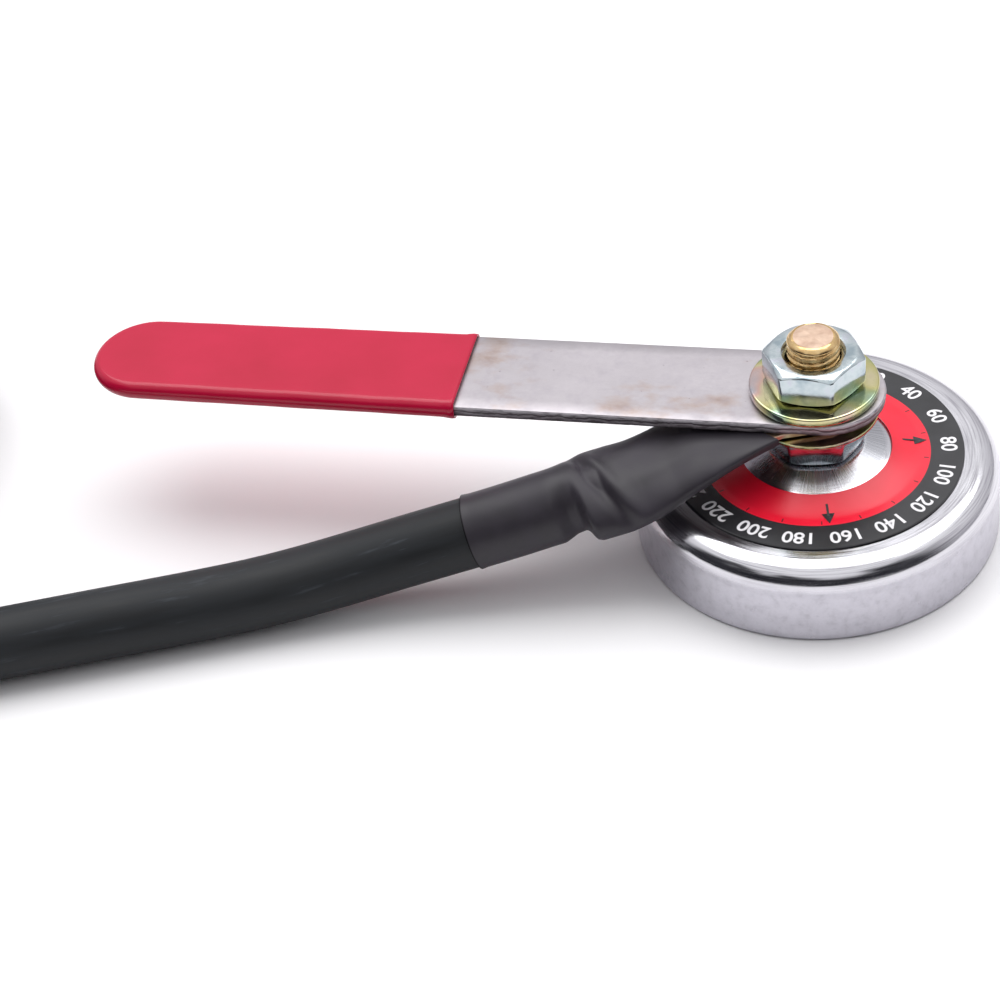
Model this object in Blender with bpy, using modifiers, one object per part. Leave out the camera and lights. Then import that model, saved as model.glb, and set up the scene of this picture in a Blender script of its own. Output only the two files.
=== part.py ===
"""Magnetic welding earth contact with a lever handle and its lead, in metres, +Z up.

A pot magnet stands on its rim. A brass contact runs up through it as a threaded stud, and a nut
locks it to the cup. On that nut sit a washer, the palm of the cable lug, the steel lever strip,
a second washer and the clamping nut. The lug, its shrink sleeve and the start of the cable follow
one smooth centre line, which comes down to the floor and runs to a coil of spare cable and a plug.

The origin is the centre of the contact face. The stud is on +Z, and the lever points along -X.
"""
import math

import bmesh
import bpy
import numpy as np
from mathutils import Matrix, Vector

OBJECT_NAME = "magnetic_ground_clamp"
MERGE = 0.00001  # merge distance of every modifier and weld
GAP = 0.0003  # between a piece and one that it is cut for or that it passes through
SEAT = 0.00015  # between two flat faces that are clamped together

# Pot magnet
CUP_RADIUS = 0.0347
CUP_FACE = 0.0161  # height of the flat face round the boss
CUP_WALL = 0.0020
CUP_SHOULDER = 0.0046  # outside radius between wall and face
CUP_RIM_ROUND = 0.0005
BOSS_FOOT_RADIUS = 0.0200
BOSS_TOP_RADIUS = 0.0094
BOSS_TOP = 0.0195
MAGNET_OUTER_RADIUS = 0.0300
MAGNET_BORE_RADIUS = 0.0132
MAGNET_RECESS = 0.0012  # its face lies this far above the rim
MAGNET_THICKNESS = 0.0120
POTTING_RECESS = 0.0008
BUSH_RECESS = 0.0007
LABEL_INNER_RADIUS = 0.0144
LABEL_OUTER_RADIUS = 0.0279
LABEL_THICKNESS = 0.00025

# Brass contact and its stud
CONTACT_RADIUS = 0.0110
CONTACT_NECK_RADIUS = 0.0078
STUD_RADIUS = 0.0049
STUD_TOP = 0.0439
STUD_CHAMFER = 0.0008
THREAD_PITCH = 0.0015
THREAD_DEPTH = 0.00045
THREAD_CRESTS = 3  # grooves that show above the nut

# Stack on the stud, from the bottom up
NUT_ACROSS_FLATS = 0.0170
NUT_HEIGHT = 0.0067
NUT_BORE_RADIUS = STUD_RADIUS + GAP
NUT_CHAMFER_RADIUS = 0.0076
NUT_CHAMFER_DROP = 0.0009
LOWER_NUT_TURN = math.radians(8)
UPPER_NUT_TURN = math.radians(-3)
WASHER_RADIUS = 0.0121
LOWER_WASHER_THICKNESS = 0.00085
UPPER_WASHER_THICKNESS = 0.0020
WASHER_BORE_RADIUS = 0.0054
PALM_THICKNESS = 0.0013
SLEEVE_OVER_PALM = 0.0005  # room between palm and lever for the wall of the sleeve
LOWER_NUT_Z = BOSS_TOP + SEAT
LOWER_WASHER_Z = LOWER_NUT_Z + NUT_HEIGHT + SEAT
PALM_Z = LOWER_WASHER_Z + LOWER_WASHER_THICKNESS + SEAT
STRIP_Z = PALM_Z + PALM_THICKNESS + SLEEVE_OVER_PALM

# Lever
STRIP_WIDTH = 0.0221
STRIP_TIP_WIDTH = 0.0211
STRIP_THICKNESS = 0.0022
STRIP_PAST_STUD = 0.0133
STRIP_REACH = 0.1412  # from the stud to the far end of the steel
LEVER_DROOP = math.radians(0.45)  # the lever sinks a little towards its grip
GRIP_WALL = 0.0006
GRIP_THICKNESS = 0.0038
GRIP_ROUND = 0.0016
GRIP_REACH = 0.1427
GRIP_MOUTH = 0.0668  # from the stud to the open end of the grip
UPPER_WASHER_Z = STRIP_Z + STRIP_THICKNESS + SEAT
UPPER_NUT_Z = UPPER_WASHER_Z + UPPER_WASHER_THICKNESS + SEAT

# Lug, sleeve and cable: distances along the lead are measured from the stud's axis
PALM_HALF_WIDTH = 0.0086
LUG_BARREL_RADIUS = 0.0052
LUG_BORE_RADIUS = 0.0038
LUG_BARREL_START = 0.0440
LUG_END = 0.0560
CORE_RADIUS = LUG_BORE_RADIUS - GAP
CABLE_RADIUS = 0.0068
CABLE_START = LUG_END + GAP
SLEEVE_START = 0.0133  # also the radius of the arc that its end is cut to
SLEEVE_MOUTH = 0.0692
SLEEVE_WALL = 0.0003

# The centre line of the lead as it comes over a cup of CUP_DRAWN, chosen by hand: x, y, z and how
# far the place moves outwards with the cup's wall, so that the sleeve still clears the shoulder
CUP_DRAWN = 0.0347
LEAD_ROUTE = [
    (0.0000, 0.0000, PALM_Z + PALM_THICKNESS / 2, 0.0),
    (-0.0105, -0.0060, PALM_Z + PALM_THICKNESS / 2, 0.0),
    (-0.0190, -0.0108, 0.0264, 0.3),
    (-0.0274, -0.0154, 0.0230, 0.6),
    (-0.0349, -0.0187, 0.0207, 0.9),
    (-0.0418, -0.0210, 0.0190, 1.0),
    (-0.0486, -0.0234, 0.0174, 1.0),
    (-0.0560, -0.0259, 0.0157, 1.0),
    (-0.0651, -0.0283, 0.0134, 0.9),
    (-0.0745, -0.0310, 0.0112, 0.8),
    (-0.0839, -0.0342, 0.0093, 0.7),
    (-0.0932, -0.0378, 0.0079, 0.6),
    (-0.1020, -0.0413, 0.0071, 0.5),
    (-0.1108, -0.0449, 0.0069, 0.4),
    (-0.1285, -0.0521, 0.0069, 0.2),
    (-0.1461, -0.0593, 0.0069, 0.1),
    (-0.1640, -0.0666, 0.0069, 0.0),
    (-0.1903, -0.0772, 0.0069, 0.0),
]
CABLE_POINTS = 14

# Coil of spare cable, wound clockwise in two layers of three turns, and the plug at its end
COIL_CENTRE = (-0.2680, -0.0163)
COIL_RADIUS = 0.0720  # at the middle of its turns
COIL_PITCH = 2 * CABLE_RADIUS + 0.0002
COIL_TURNS_WIDE = 3
COIL_LAYERS = 2
COIL_BASE = 0.0015
COIL_HALF_WIDTH = CABLE_RADIUS + COIL_PITCH * (COIL_TURNS_WIDE - 1) / 2 + 0.0001
COIL_HEIGHT = 2 * CABLE_RADIUS + COIL_PITCH * (COIL_LAYERS - 1) + 0.0001
TIE_ANGLES = (20, 105, 228)  # degrees round the coil
TIE_WIDTH = 0.0140
TIE_THICKNESS = 0.0010
# The plug and the cable's tail are set out along +Y beside the coil, then turned about its centre
PLUG_AXIS_X = COIL_CENTRE[0] - COIL_RADIUS - COIL_PITCH
PLUG_TURN = 22  # degrees, anticlockwise seen from above
PLUG_BOOT_RADIUS = 0.0132
PLUG_BOOT_NOSE_RADIUS = 0.0093
PLUG_Z = PLUG_BOOT_RADIUS + 0.0002
PLUG_Y = 0.0500  # cable end of the boot
PLUG_CABLE_DEPTH = 0.0140  # how far the cable goes into the boot
PLUG_BODY_RADIUS = 0.0083
PLUG_BODY_LENGTH = 0.0300
PLUG_BORE_RADIUS = 0.0043
PLUG_BORE_DEPTH = 0.0210
PLUG_COLLAR_RADIUS = 0.0098
PLUG_COLLAR_LENGTH = 0.0040
PLUG_COLLAR_START = PLUG_CABLE_DEPTH + GAP + PLUG_BODY_LENGTH  # from the cable end of the boot
PLUG_HOOD = 0.0095  # how far the boot reaches past the collar
PLUG_BOOT_LENGTH = PLUG_COLLAR_START + PLUG_COLLAR_LENGTH + PLUG_HOOD
PLUG_PIN_RADIUS = 0.0045
PLUG_PIN_LENGTH = 0.0210
PLUG_KEY = (0.0030, 0.0040, 0.0020)  # bayonet key: width, length along the pin, height
PLUG_SCREW_RADIUS = 0.0030
PLUG_SCREW_LENGTH = 0.0040
PLUG_SCREW_PLACES = (0.0060, 0.0150)  # along the body from its cable end
TAIL_ROUTE = [
    (PLUG_AXIS_X, 0.0330, 0.0160),
    (PLUG_AXIS_X, 0.0430, 0.0140),
    (PLUG_AXIS_X, 0.0500, PLUG_Z),
    (PLUG_AXIS_X, 0.0575, PLUG_Z),
    (PLUG_AXIS_X, PLUG_Y + PLUG_CABLE_DEPTH, PLUG_Z),
]

# Sections of the sleeve and of the lug: place along the lead, half width towards the front and
# towards the back, half height, squareness (2 is an ellipse) and roll to the front in degrees
SLEEVE_SECTIONS = [
    (SLEEVE_START, 0.0082, 0.0078, 0.00095, 8.0, 0),
    (0.0180, 0.0091, 0.0080, 0.00140, 4.0, 1),
    (0.0240, 0.0097, 0.0083, 0.00200, 3.0, 4),
    (0.0300, 0.0096, 0.0085, 0.00280, 2.5, 9),
    (0.0360, 0.0100, 0.0085, 0.00390, 2.2, 14),
    (0.0405, 0.0103, 0.0084, 0.00520, 2.0, 15),
    (0.0435, 0.0103, 0.0084, 0.00580, 2.0, 12),
    (0.0455, 0.0085, 0.0083, 0.00620, 2.0, 9),
    (0.0478, 0.0060, 0.0078, 0.00650, 2.0, 4),
    (0.0505, 0.0063, 0.0074, 0.00680, 2.0, 0),
    (0.0535, 0.0073, 0.0073, 0.00730, 2.0, 0),
    (SLEEVE_MOUTH, 0.0073, 0.0073, 0.00730, 2.0, 0),
]
LUG_SECTIONS = [
    (0.0000, PALM_HALF_WIDTH, PALM_HALF_WIDTH, PALM_THICKNESS / 2, 12, 0),
    (0.0090, 0.0071, 0.0071, PALM_THICKNESS / 2, 8, 0),
    (0.0135, 0.0069, 0.0069, PALM_THICKNESS / 2 - 0.00005, 8, 0),
    (0.0180, 0.0066, 0.0066, 0.00065, 5, 1),
    (0.0260, 0.0064, 0.0064, 0.00110, 3.5, 6),
    (0.0340, 0.0060, 0.0060, 0.00210, 2.5, 8),
    (0.0400, 0.0055, 0.0055, 0.00380, 2.0, 4),
    (LUG_BARREL_START, LUG_BARREL_RADIUS, LUG_BARREL_RADIUS, LUG_BARREL_RADIUS, 2, 0),
    (LUG_END, LUG_BARREL_RADIUS, LUG_BARREL_RADIUS, LUG_BARREL_RADIUS, 2, 0),
]


def collection(name):
    """A new collection in the scene."""
    made = bpy.data.collections.new(name)
    bpy.context.scene.collection.children.link(made)
    return made


def clear_scene():
    """Removes every object of the start-up scene."""
    for obj in list(bpy.data.objects):
        bpy.data.objects.remove(obj, do_unlink=True)


clear_scene()
PARTS = collection(OBJECT_NAME)
CUTTERS = collection("cutters")


def material(name, colour, roughness, metallic):
    """A Principled material with one colour."""
    made = bpy.data.materials.new(name)
    made.use_nodes = True
    shader = made.node_tree.nodes["Principled BSDF"]
    shader.inputs["Base Color"].default_value = (*colour, 1.0)
    shader.inputs["Roughness"].default_value = roughness
    shader.inputs["Metallic"].default_value = metallic
    return made


def new_object(name, data, finish=None):
    """An object in the parts' collection, or in the cutters' when it has no finish."""
    obj = bpy.data.objects.new(name, data)
    if finish is None:
        CUTTERS.objects.link(obj)
        obj.hide_render = True
        obj.display_type = "WIRE"
    else:
        PARTS.objects.link(obj)
        data.materials.append(finish)
    return obj


def turned(name, profile, steps, finish=None):
    """A solid turned about its Z axis from (radius, height) points, outer side first, downwards.

    A profile that starts and ends on the axis is open, and any other is closed into a ring.
    """
    on_axis = min(radius for radius, _ in profile) < MERGE
    points = [(radius, 0.0, height) for radius, height in profile]
    edges = [(i, i + 1) for i in range(len(points) - 1)]
    if not on_axis:
        edges.append((len(points) - 1, 0))
    mesh = bpy.data.meshes.new(name)
    mesh.from_pydata(points, edges, [])
    obj = new_object(name, mesh, finish)
    screw = obj.modifiers.new("turn", "SCREW")
    screw.axis = "Z"
    screw.steps = steps
    screw.render_steps = steps
    screw.use_merge_vertices = True
    screw.merge_threshold = MERGE
    screw.use_smooth_shade = True
    return obj


def arc(centre, radius, start, end, steps):
    """Points of an arc, with its angles in degrees."""
    angles = [math.radians(start + (end - start) * i / steps) for i in range(steps + 1)]
    return [(centre[0] + radius * math.cos(a), centre[1] + radius * math.sin(a)) for a in angles]


def cut(obj, cutter, operation="DIFFERENCE"):
    """Adds a Boolean modifier with the exact solver."""
    boolean = obj.modifiers.new("cut", "BOOLEAN")
    boolean.operation = operation
    boolean.solver = "EXACT"
    boolean.object = cutter


def finish_shading(obj, angle=35):
    """Smooth shading with sharp edges where faces meet at more than the angle."""
    obj.data.shade_smooth()
    obj.data.set_sharp_from_angle(angle=math.radians(angle))


def as_mesh(curve_object, finish=None):
    """The curve object as a mesh object with its caps welded on; the curve is removed."""
    depsgraph = bpy.context.evaluated_depsgraph_get()
    mesh = bpy.data.meshes.new_from_object(curve_object.evaluated_get(depsgraph))
    place = curve_object.matrix_world.copy()
    name = curve_object.name
    curve = curve_object.data
    bpy.data.objects.remove(curve_object, do_unlink=True)
    bpy.data.curves.remove(curve)
    work = bmesh.new()
    work.from_mesh(mesh)
    bmesh.ops.remove_doubles(work, verts=work.verts, dist=MERGE)
    work.to_mesh(mesh)
    work.free()
    mesh.materials.clear()
    obj = new_object(name, mesh, finish)
    obj.matrix_world = place
    return obj


def plate(name, outlines, thickness, finish=None, height=0.0):
    """A flat plate from closed outlines in XY, its underside at the height; inner ones are holes."""
    curve = bpy.data.curves.new(name + "_outline", "CURVE")
    curve.dimensions = "2D"
    curve.fill_mode = "BOTH"
    curve.extrude = thickness / 2
    for outline in outlines:
        spline = curve.splines.new("POLY")
        spline.points.add(len(outline) - 1)
        for point, (x, y) in zip(spline.points, outline):
            point.co = (x, y, 0.0, 1.0)
        spline.use_cyclic_u = True
    flat = bpy.data.objects.new(name, curve)
    bpy.context.scene.collection.objects.link(flat)
    flat.location.z = height + thickness / 2
    bpy.context.view_layer.update()
    return as_mesh(flat, finish)


def tube(name, points, radius, finish):
    """A cable along points, as a curve with filled caps."""
    curve = bpy.data.curves.new(name, "CURVE")
    curve.dimensions = "3D"
    curve.bevel_depth = radius
    curve.bevel_resolution = 3
    curve.use_fill_caps = True
    spline = curve.splines.new("POLY")
    spline.points.add(len(points) - 1)
    for point, place in zip(spline.points, points):
        point.co = (*place, 1.0)
    return new_object(name, curve, finish)


class Path:
    """A smooth curve through points: cubic Hermite spans, read by distance along it."""

    def __init__(self, points, fine=40):
        knots = np.array(points, float)
        chord = np.concatenate([[0], np.cumsum(np.linalg.norm(np.diff(knots, axis=0), axis=1))])
        slope = np.gradient(knots, chord, axis=0)
        pieces = []
        for i in range(len(knots) - 1):
            t = np.linspace(0, 1, fine, endpoint=False)[:, None]
            span = chord[i + 1] - chord[i]
            pieces.append(
                (2 * t**3 - 3 * t**2 + 1) * knots[i]
                + (t**3 - 2 * t**2 + t) * span * slope[i]
                + (3 * t**2 - 2 * t**3) * knots[i + 1]
                + (t**3 - t**2) * span * slope[i + 1]
            )
        self.line = np.concatenate(pieces + [knots[-1:]])
        steps = np.linalg.norm(np.diff(self.line, axis=0), axis=1)
        self.along = np.concatenate([[0], np.cumsum(steps)])
        self.length = self.along[-1]

    def at(self, distance):
        """The point at a distance; before the start it runs on straight."""
        point = np.array([np.interp(distance, self.along, self.line[:, k]) for k in range(3)])
        if distance < 0:
            point = self.line[0] + distance * self.direction(0)
        return point

    def direction(self, distance):
        """The unit tangent at a distance."""
        middle = np.clip(distance, 0, self.length)
        near = [np.clip(middle + step, 0, self.length) for step in (-0.0008, 0.0008)]
        a, b = (np.array([np.interp(d, self.along, self.line[:, k]) for k in range(3)]) for d in near)
        return (b - a) / np.linalg.norm(b - a)

    def frame(self, distance):
        """The tangent, the level direction towards the front and the upward normal."""
        ahead = self.direction(distance)
        front = np.cross((0.0, 0.0, 1.0), ahead)
        front /= np.linalg.norm(front)
        return ahead, front, np.cross(ahead, front)


def section_table(sections, places):
    """The section sizes at each place, with smooth steps between the given ones."""
    table = np.array(sections, float)
    rows = []
    for place in places:
        i = int(np.clip(np.searchsorted(table[:, 0], place) - 1, 0, len(table) - 2))
        share = np.clip((place - table[i, 0]) / (table[i + 1, 0] - table[i, 0]), 0, 1)
        rows.append(table[i, 1:] + (table[i + 1, 1:] - table[i, 1:]) * share)
    return np.array(rows)


def section_ring(path, place, size, count, inset=0.0, end_arc=0.0):
    """One ring of points: a superellipse across the path, rolled about it.

    inset makes it smaller all round. end_arc, from 0 to 1, bends the ring to an arc about the stud.
    """
    front_half, back_half, half_height, squareness, roll = size
    ahead, front, up = path.frame(place)
    angle = 2 * np.pi * (np.arange(count) + 0.5) / count
    power = 2 / squareness
    half_width = np.where(np.cos(angle) > 0, front_half, back_half)
    across = (half_width - inset) * np.sign(np.cos(angle)) * np.abs(np.cos(angle)) ** power
    above = (half_height - inset) * np.sign(np.sin(angle)) * np.abs(np.sin(angle)) ** power
    turn = math.radians(roll)
    side = across * math.cos(turn) + above * math.sin(turn)
    height = above * math.cos(turn) - across * math.sin(turn)
    pulled = end_arc * (np.sqrt(SLEEVE_START**2 - across**2) - SLEEVE_START)
    return path.at(place) + np.outer(side, front) + np.outer(height, up) + np.outer(pulled, ahead)


def ring_faces(rings, count, first=0, inward=False):
    """Quads between rings that follow each other, from the vertex numbered first."""
    faces = []
    for i in range(rings - 1):
        for j in range(count):
            a, b = first + i * count + j, first + i * count + (j + 1) % count
            quad = (a, b, b + count, a + count)
            faces.append(quad[::-1] if inward else quad)
    return faces


def loft(name, rings, finish=None):
    """A closed solid through rings of points, with a cap at each end."""
    count = len(rings[0])
    faces = ring_faces(len(rings), count)
    faces.append(tuple(reversed(range(count))))
    faces.append(tuple(range((len(rings) - 1) * count, len(rings) * count)))
    mesh = bpy.data.meshes.new(name)
    mesh.from_pydata(np.concatenate(rings).tolist(), [], faces)
    obj = new_object(name, mesh, finish)
    face_outwards(obj)
    return obj


def open_loft(name, outer, inner, finish):
    """A wall between outer rings and inner rings, open at both ends."""
    rings, count = len(outer), len(outer[0])
    start_inner = rings * count
    faces = ring_faces(rings, count) + ring_faces(rings, count, start_inner, inward=True)
    last = (rings - 1) * count
    for j in range(count):
        k = (j + 1) % count
        faces.append((k, j, start_inner + j, start_inner + k))
        faces.append((last + j, last + k, start_inner + last + k, start_inner + last + j))
    mesh = bpy.data.meshes.new(name)
    mesh.from_pydata(np.concatenate(list(outer) + list(inner)).tolist(), [], faces)
    obj = new_object(name, mesh, finish)
    face_outwards(obj)
    return obj


def face_outwards(obj):
    """Turns the mesh's faces outwards and shades it smooth."""
    work = bmesh.new()
    work.from_mesh(obj.data)
    bmesh.ops.recalc_face_normals(work, faces=work.faces)
    work.to_mesh(obj.data)
    work.free()
    finish_shading(obj)


def cylinder(name, radius, low, high, steps=32, finish=None):
    """A plain turned cylinder between two heights."""
    return turned(name, [(0, high), (radius, high), (radius, low), (0, low)], steps, finish)


def round_the_coil():
    """The turn of the plug and the tail about the coil's upright axis."""
    centre = Matrix.Translation((*COIL_CENTRE, 0))
    return centre @ Matrix.Rotation(math.radians(PLUG_TURN), 4, "Z") @ centre.inverted()


def lay_on_plug_axis(obj):
    """Lays a piece that is built about Z down on the plug's axis, with +Z away from the cable."""
    obj.matrix_world = (round_the_coil() @ Matrix.Translation((PLUG_AXIS_X, PLUG_Y, PLUG_Z))
                        @ Matrix.Rotation(-math.pi / 2, 4, "X"))


def lead_route():
    """The lead's centre line for this cup: knots move outwards, away from the stud, with its wall."""
    growth = CUP_RADIUS - CUP_DRAWN
    route = []
    for x, y, z, share in LEAD_ROUTE:
        distance = math.hypot(x, y)
        scale = 1 + share * growth / distance if distance > 0 else 1
        route.append((x * scale, y * scale, z))
    return route


# Pot magnet

def boss_height(radius):
    """Height of the cup's face at a radius: flat, then a smooth rise to the boss."""
    share = (BOSS_FOOT_RADIUS - radius) / (BOSS_FOOT_RADIUS - BOSS_TOP_RADIUS)
    share = min(max(share, 0.0), 1.0)
    return CUP_FACE + (BOSS_TOP - CUP_FACE) * share**1.35


def boss_profile(outer, inner, lift, steps):
    """Points on the face from one radius to a smaller one, lifted off it."""
    radii = [outer + (inner - outer) * i / steps for i in range(steps + 1)]
    return [(radius, boss_height(radius) + lift) for radius in radii]


def magnet_cup():
    """Deep-drawn steel cup, open side down, with a hole for the stud in its boss."""
    shoulder = (CUP_RADIUS - CUP_SHOULDER, CUP_FACE - CUP_SHOULDER)
    inner_shoulder = CUP_SHOULDER - CUP_WALL
    inner_radius = CUP_RADIUS - CUP_WALL
    hole = STUD_RADIUS + GAP
    outside = [(hole, BOSS_TOP)] + boss_profile(BOSS_TOP_RADIUS, BOSS_FOOT_RADIUS, 0, 5)
    outside += arc(shoulder, CUP_SHOULDER, 90, 0, 7)
    rim = (CUP_RADIUS - CUP_RIM_ROUND, CUP_RIM_ROUND)
    outside += arc(rim, CUP_RIM_ROUND, 0, -90, 2)
    inside = [(inner_radius, 0.0)] + arc(shoulder, inner_shoulder, 0, 90, 3)
    inside += boss_profile(BOSS_FOOT_RADIUS, BOSS_TOP_RADIUS, -CUP_WALL, 4)
    inside += [(hole, BOSS_TOP - CUP_WALL)]
    steel = material("bright_plated_steel", (0.72, 0.72, 0.75), 0.16, 1.0)
    return turned("magnet_cup", outside + inside, 48, steel)


def face_label():
    """Printed ring stuck on the face round the boss."""
    top = boss_profile(LABEL_INNER_RADIUS, BOSS_FOOT_RADIUS, SEAT + LABEL_THICKNESS, 3)
    top += [(LABEL_OUTER_RADIUS, CUP_FACE + SEAT + LABEL_THICKNESS)]
    under = [(radius, height - LABEL_THICKNESS) for radius, height in reversed(top)]
    printed = material("printed_label", (0.80, 0.01, 0.04), 0.35, 0.0)
    return turned("face_label", top + under, 40, printed)


def ring(name, inner, outer, low, high, steps, finish):
    """A plain ring of rectangular section."""
    return turned(name, [(inner, high), (outer, high), (outer, low), (inner, low)], steps, finish)


def magnet_insides():
    """Ferrite ring, the potting round it and the bush that centres the contact in it."""
    top = MAGNET_RECESS + MAGNET_THICKNESS
    ferrite = material("ferrite", (0.05, 0.05, 0.055), 0.55, 0.0)
    epoxy = material("epoxy", (0.03, 0.03, 0.03), 0.45, 0.0)
    nylon = material("nylon", (0.75, 0.73, 0.66), 0.5, 0.0)
    ring("ferrite_ring", MAGNET_BORE_RADIUS, MAGNET_OUTER_RADIUS, MAGNET_RECESS, top, 48, ferrite)
    low_corner = CUP_RADIUS - CUP_WALL - GAP
    ring("potting_ring", MAGNET_OUTER_RADIUS + GAP, low_corner, POTTING_RECESS,
         CUP_FACE - CUP_SHOULDER - GAP, 48, epoxy)
    ring("centre_bush", CONTACT_RADIUS + GAP, MAGNET_BORE_RADIUS - GAP, BUSH_RECESS, top, 36, nylon)


def contact_stud():
    """Brass contact face, its neck under the boss, and the threaded stud, in one turned piece."""
    head_top = CUP_FACE - CUP_WALL - GAP
    neck_top = BOSS_TOP - CUP_WALL - SEAT
    profile = [(0, STUD_TOP), (STUD_RADIUS - STUD_CHAMFER, STUD_TOP)]
    height = STUD_TOP - STUD_CHAMFER
    profile.append((STUD_RADIUS, height))
    for _ in range(THREAD_CRESTS):
        height -= THREAD_PITCH / 4
        profile.append((STUD_RADIUS, height))
        profile.append((STUD_RADIUS - THREAD_DEPTH, height - THREAD_PITCH * 0.3))
        height -= THREAD_PITCH * 0.6
        profile.append((STUD_RADIUS, height))
    profile += [(STUD_RADIUS, neck_top), (CONTACT_NECK_RADIUS, neck_top)]
    profile += [(CONTACT_NECK_RADIUS, head_top), (CONTACT_RADIUS, head_top)]
    profile += [(CONTACT_RADIUS, 0.0004), (CONTACT_RADIUS - 0.0004, 0.0), (0, 0)]
    brass = material("brass", (0.80, 0.58, 0.28), 0.25, 1.0)
    return turned("contact_stud", profile, 28, brass)


# Nuts and washers

def hex_nut(name, low, turn, finish):
    """A hexagon nut, chamfered on both faces, with a countersunk bore."""
    corner_radius = NUT_ACROSS_FLATS / math.sqrt(3)
    mesh = bpy.data.meshes.new(name)
    work = bmesh.new()
    bmesh.ops.create_cone(work, cap_ends=True, segments=6, radius1=corner_radius,
                          radius2=corner_radius, depth=NUT_HEIGHT)
    work.to_mesh(mesh)
    work.free()
    nut = new_object(name, mesh, finish)
    nut.location = (0, 0, low + NUT_HEIGHT / 2)
    nut.rotation_euler.z = turn
    half = NUT_HEIGHT / 2
    reach = corner_radius + GAP
    drop = NUT_CHAMFER_DROP * (reach - NUT_CHAMFER_RADIUS) / (corner_radius - NUT_CHAMFER_RADIUS)
    body = turned(name + "_chamfer", [
        (0, half), (NUT_CHAMFER_RADIUS, half), (reach, half - drop),
        (reach, drop - half), (NUT_CHAMFER_RADIUS, -half), (0, -half),
    ], 48)
    sink = NUT_BORE_RADIUS + 0.0006
    bore = turned(name + "_bore", [
        (0, half + GAP), (sink + GAP, half + GAP), (NUT_BORE_RADIUS, half - 0.0006),
        (NUT_BORE_RADIUS, 0.0006 - half), (sink + GAP, -half - GAP), (0, -half - GAP),
    ], 32)
    for cutter in (body, bore):
        cutter.location = nut.location
    cut(nut, body, "INTERSECT")
    cut(nut, bore)
    return nut


def washer(name, low, thickness, finish):
    """A flat washer with a rounded upper edge."""
    edge = thickness * 0.3
    profile = [(WASHER_BORE_RADIUS, low + thickness), (WASHER_RADIUS - edge, low + thickness),
               (WASHER_RADIUS, low + thickness - edge), (WASHER_RADIUS, low + edge),
               (WASHER_RADIUS - edge, low), (WASHER_BORE_RADIUS, low)]
    return turned(name, profile, 36, finish)


def fasteners():
    """Both nuts and both washers."""
    zinc = material("bright_zinc", (0.70, 0.74, 0.78), 0.15, 1.0)
    chromate = material("yellow_chromate", (0.72, 0.66, 0.35), 0.25, 1.0)
    hex_nut("lower_nut", LOWER_NUT_Z, LOWER_NUT_TURN, zinc)
    hex_nut("upper_nut", UPPER_NUT_Z, UPPER_NUT_TURN, zinc)
    washer("lower_washer", LOWER_WASHER_Z, LOWER_WASHER_THICKNESS, chromate)
    washer("upper_washer", UPPER_WASHER_Z, UPPER_WASHER_THICKNESS, chromate)


# Lever

def strip_outline(extra, near_end):
    """The lever's outline, grown by extra: it narrows inside the grip to its rounded far end."""
    half_width, tip_half = STRIP_WIDTH / 2 + extra, STRIP_TIP_WIDTH / 2 + extra
    far = arc((tip_half - STRIP_REACH - extra, 0), tip_half, 90, 270, 14)
    near = arc((near_end + extra - half_width, 0), half_width, -90, 90, 14)
    return far + [(-GRIP_MOUTH, -half_width)] + near + [(-GRIP_MOUTH, half_width)]


def droop(obj):
    """Tilts a piece of the lever down towards the grip, about the stud at the strip's underside."""
    seat = Matrix.Translation((0, 0, STRIP_Z))
    tilt = seat @ Matrix.Rotation(-LEVER_DROOP, 4, "Y") @ seat.inverted()
    obj.matrix_world = tilt @ obj.matrix_world


def lever_strip():
    """Sheared steel strip with a round bolt end and a hole for the stud."""
    steel = material("bare_steel", (0.60, 0.57, 0.58), 0.38, 1.0)
    strip = plate("lever_strip", [strip_outline(0.0, STRIP_PAST_STUD)], STRIP_THICKNESS, steel, STRIP_Z)
    droop(strip)
    hole = cylinder("strip_hole", WASHER_BORE_RADIUS, STRIP_Z - GAP,
                    STRIP_Z + STRIP_THICKNESS + GAP)
    cut(strip, hole)
    return strip


def lever_grip():
    """Dipped vinyl grip: a rounded flat sleeve, closed at its far end, round the strip."""
    half_width, tip_half = STRIP_WIDTH / 2 + GRIP_WALL, STRIP_TIP_WIDTH / 2 + GRIP_WALL
    outline = arc((tip_half - GRIP_REACH, 0), tip_half, 90, 270, 14)
    outline += [(-GRIP_MOUTH, -half_width), (-GRIP_MOUTH, half_width)]
    low = STRIP_Z + (STRIP_THICKNESS - GRIP_THICKNESS) / 2
    vinyl = material("red_vinyl", (0.62, 0.02, 0.06), 0.32, 0.0)
    grip = plate("lever_grip", [outline], GRIP_THICKNESS, vinyl, low)
    bevel = grip.modifiers.new("round", "BEVEL")
    bevel.width = GRIP_ROUND
    bevel.segments = 3
    bevel.limit_method = "ANGLE"
    bevel.angle_limit = math.radians(40)
    pocket = plate("grip_pocket", [strip_outline(GAP, 0.0)], STRIP_THICKNESS + 2 * GAP, None,
                   STRIP_Z - GAP)
    cut(grip, pocket)
    droop(grip)
    droop(pocket)
    return grip


# Lead

def sleeve_rings(path, places, count, inset):
    """The rings of the sleeve, inset by its wall; its end is bent to an arc round the washers."""
    rings = []
    for place, size in zip(places, section_table(SLEEVE_SECTIONS, places)):
        end_arc = np.clip(1 - (place - SLEEVE_START) / 0.010, 0, 1)
        rings.append(section_ring(path, place, size, count, inset, end_arc))
    return rings


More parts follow.
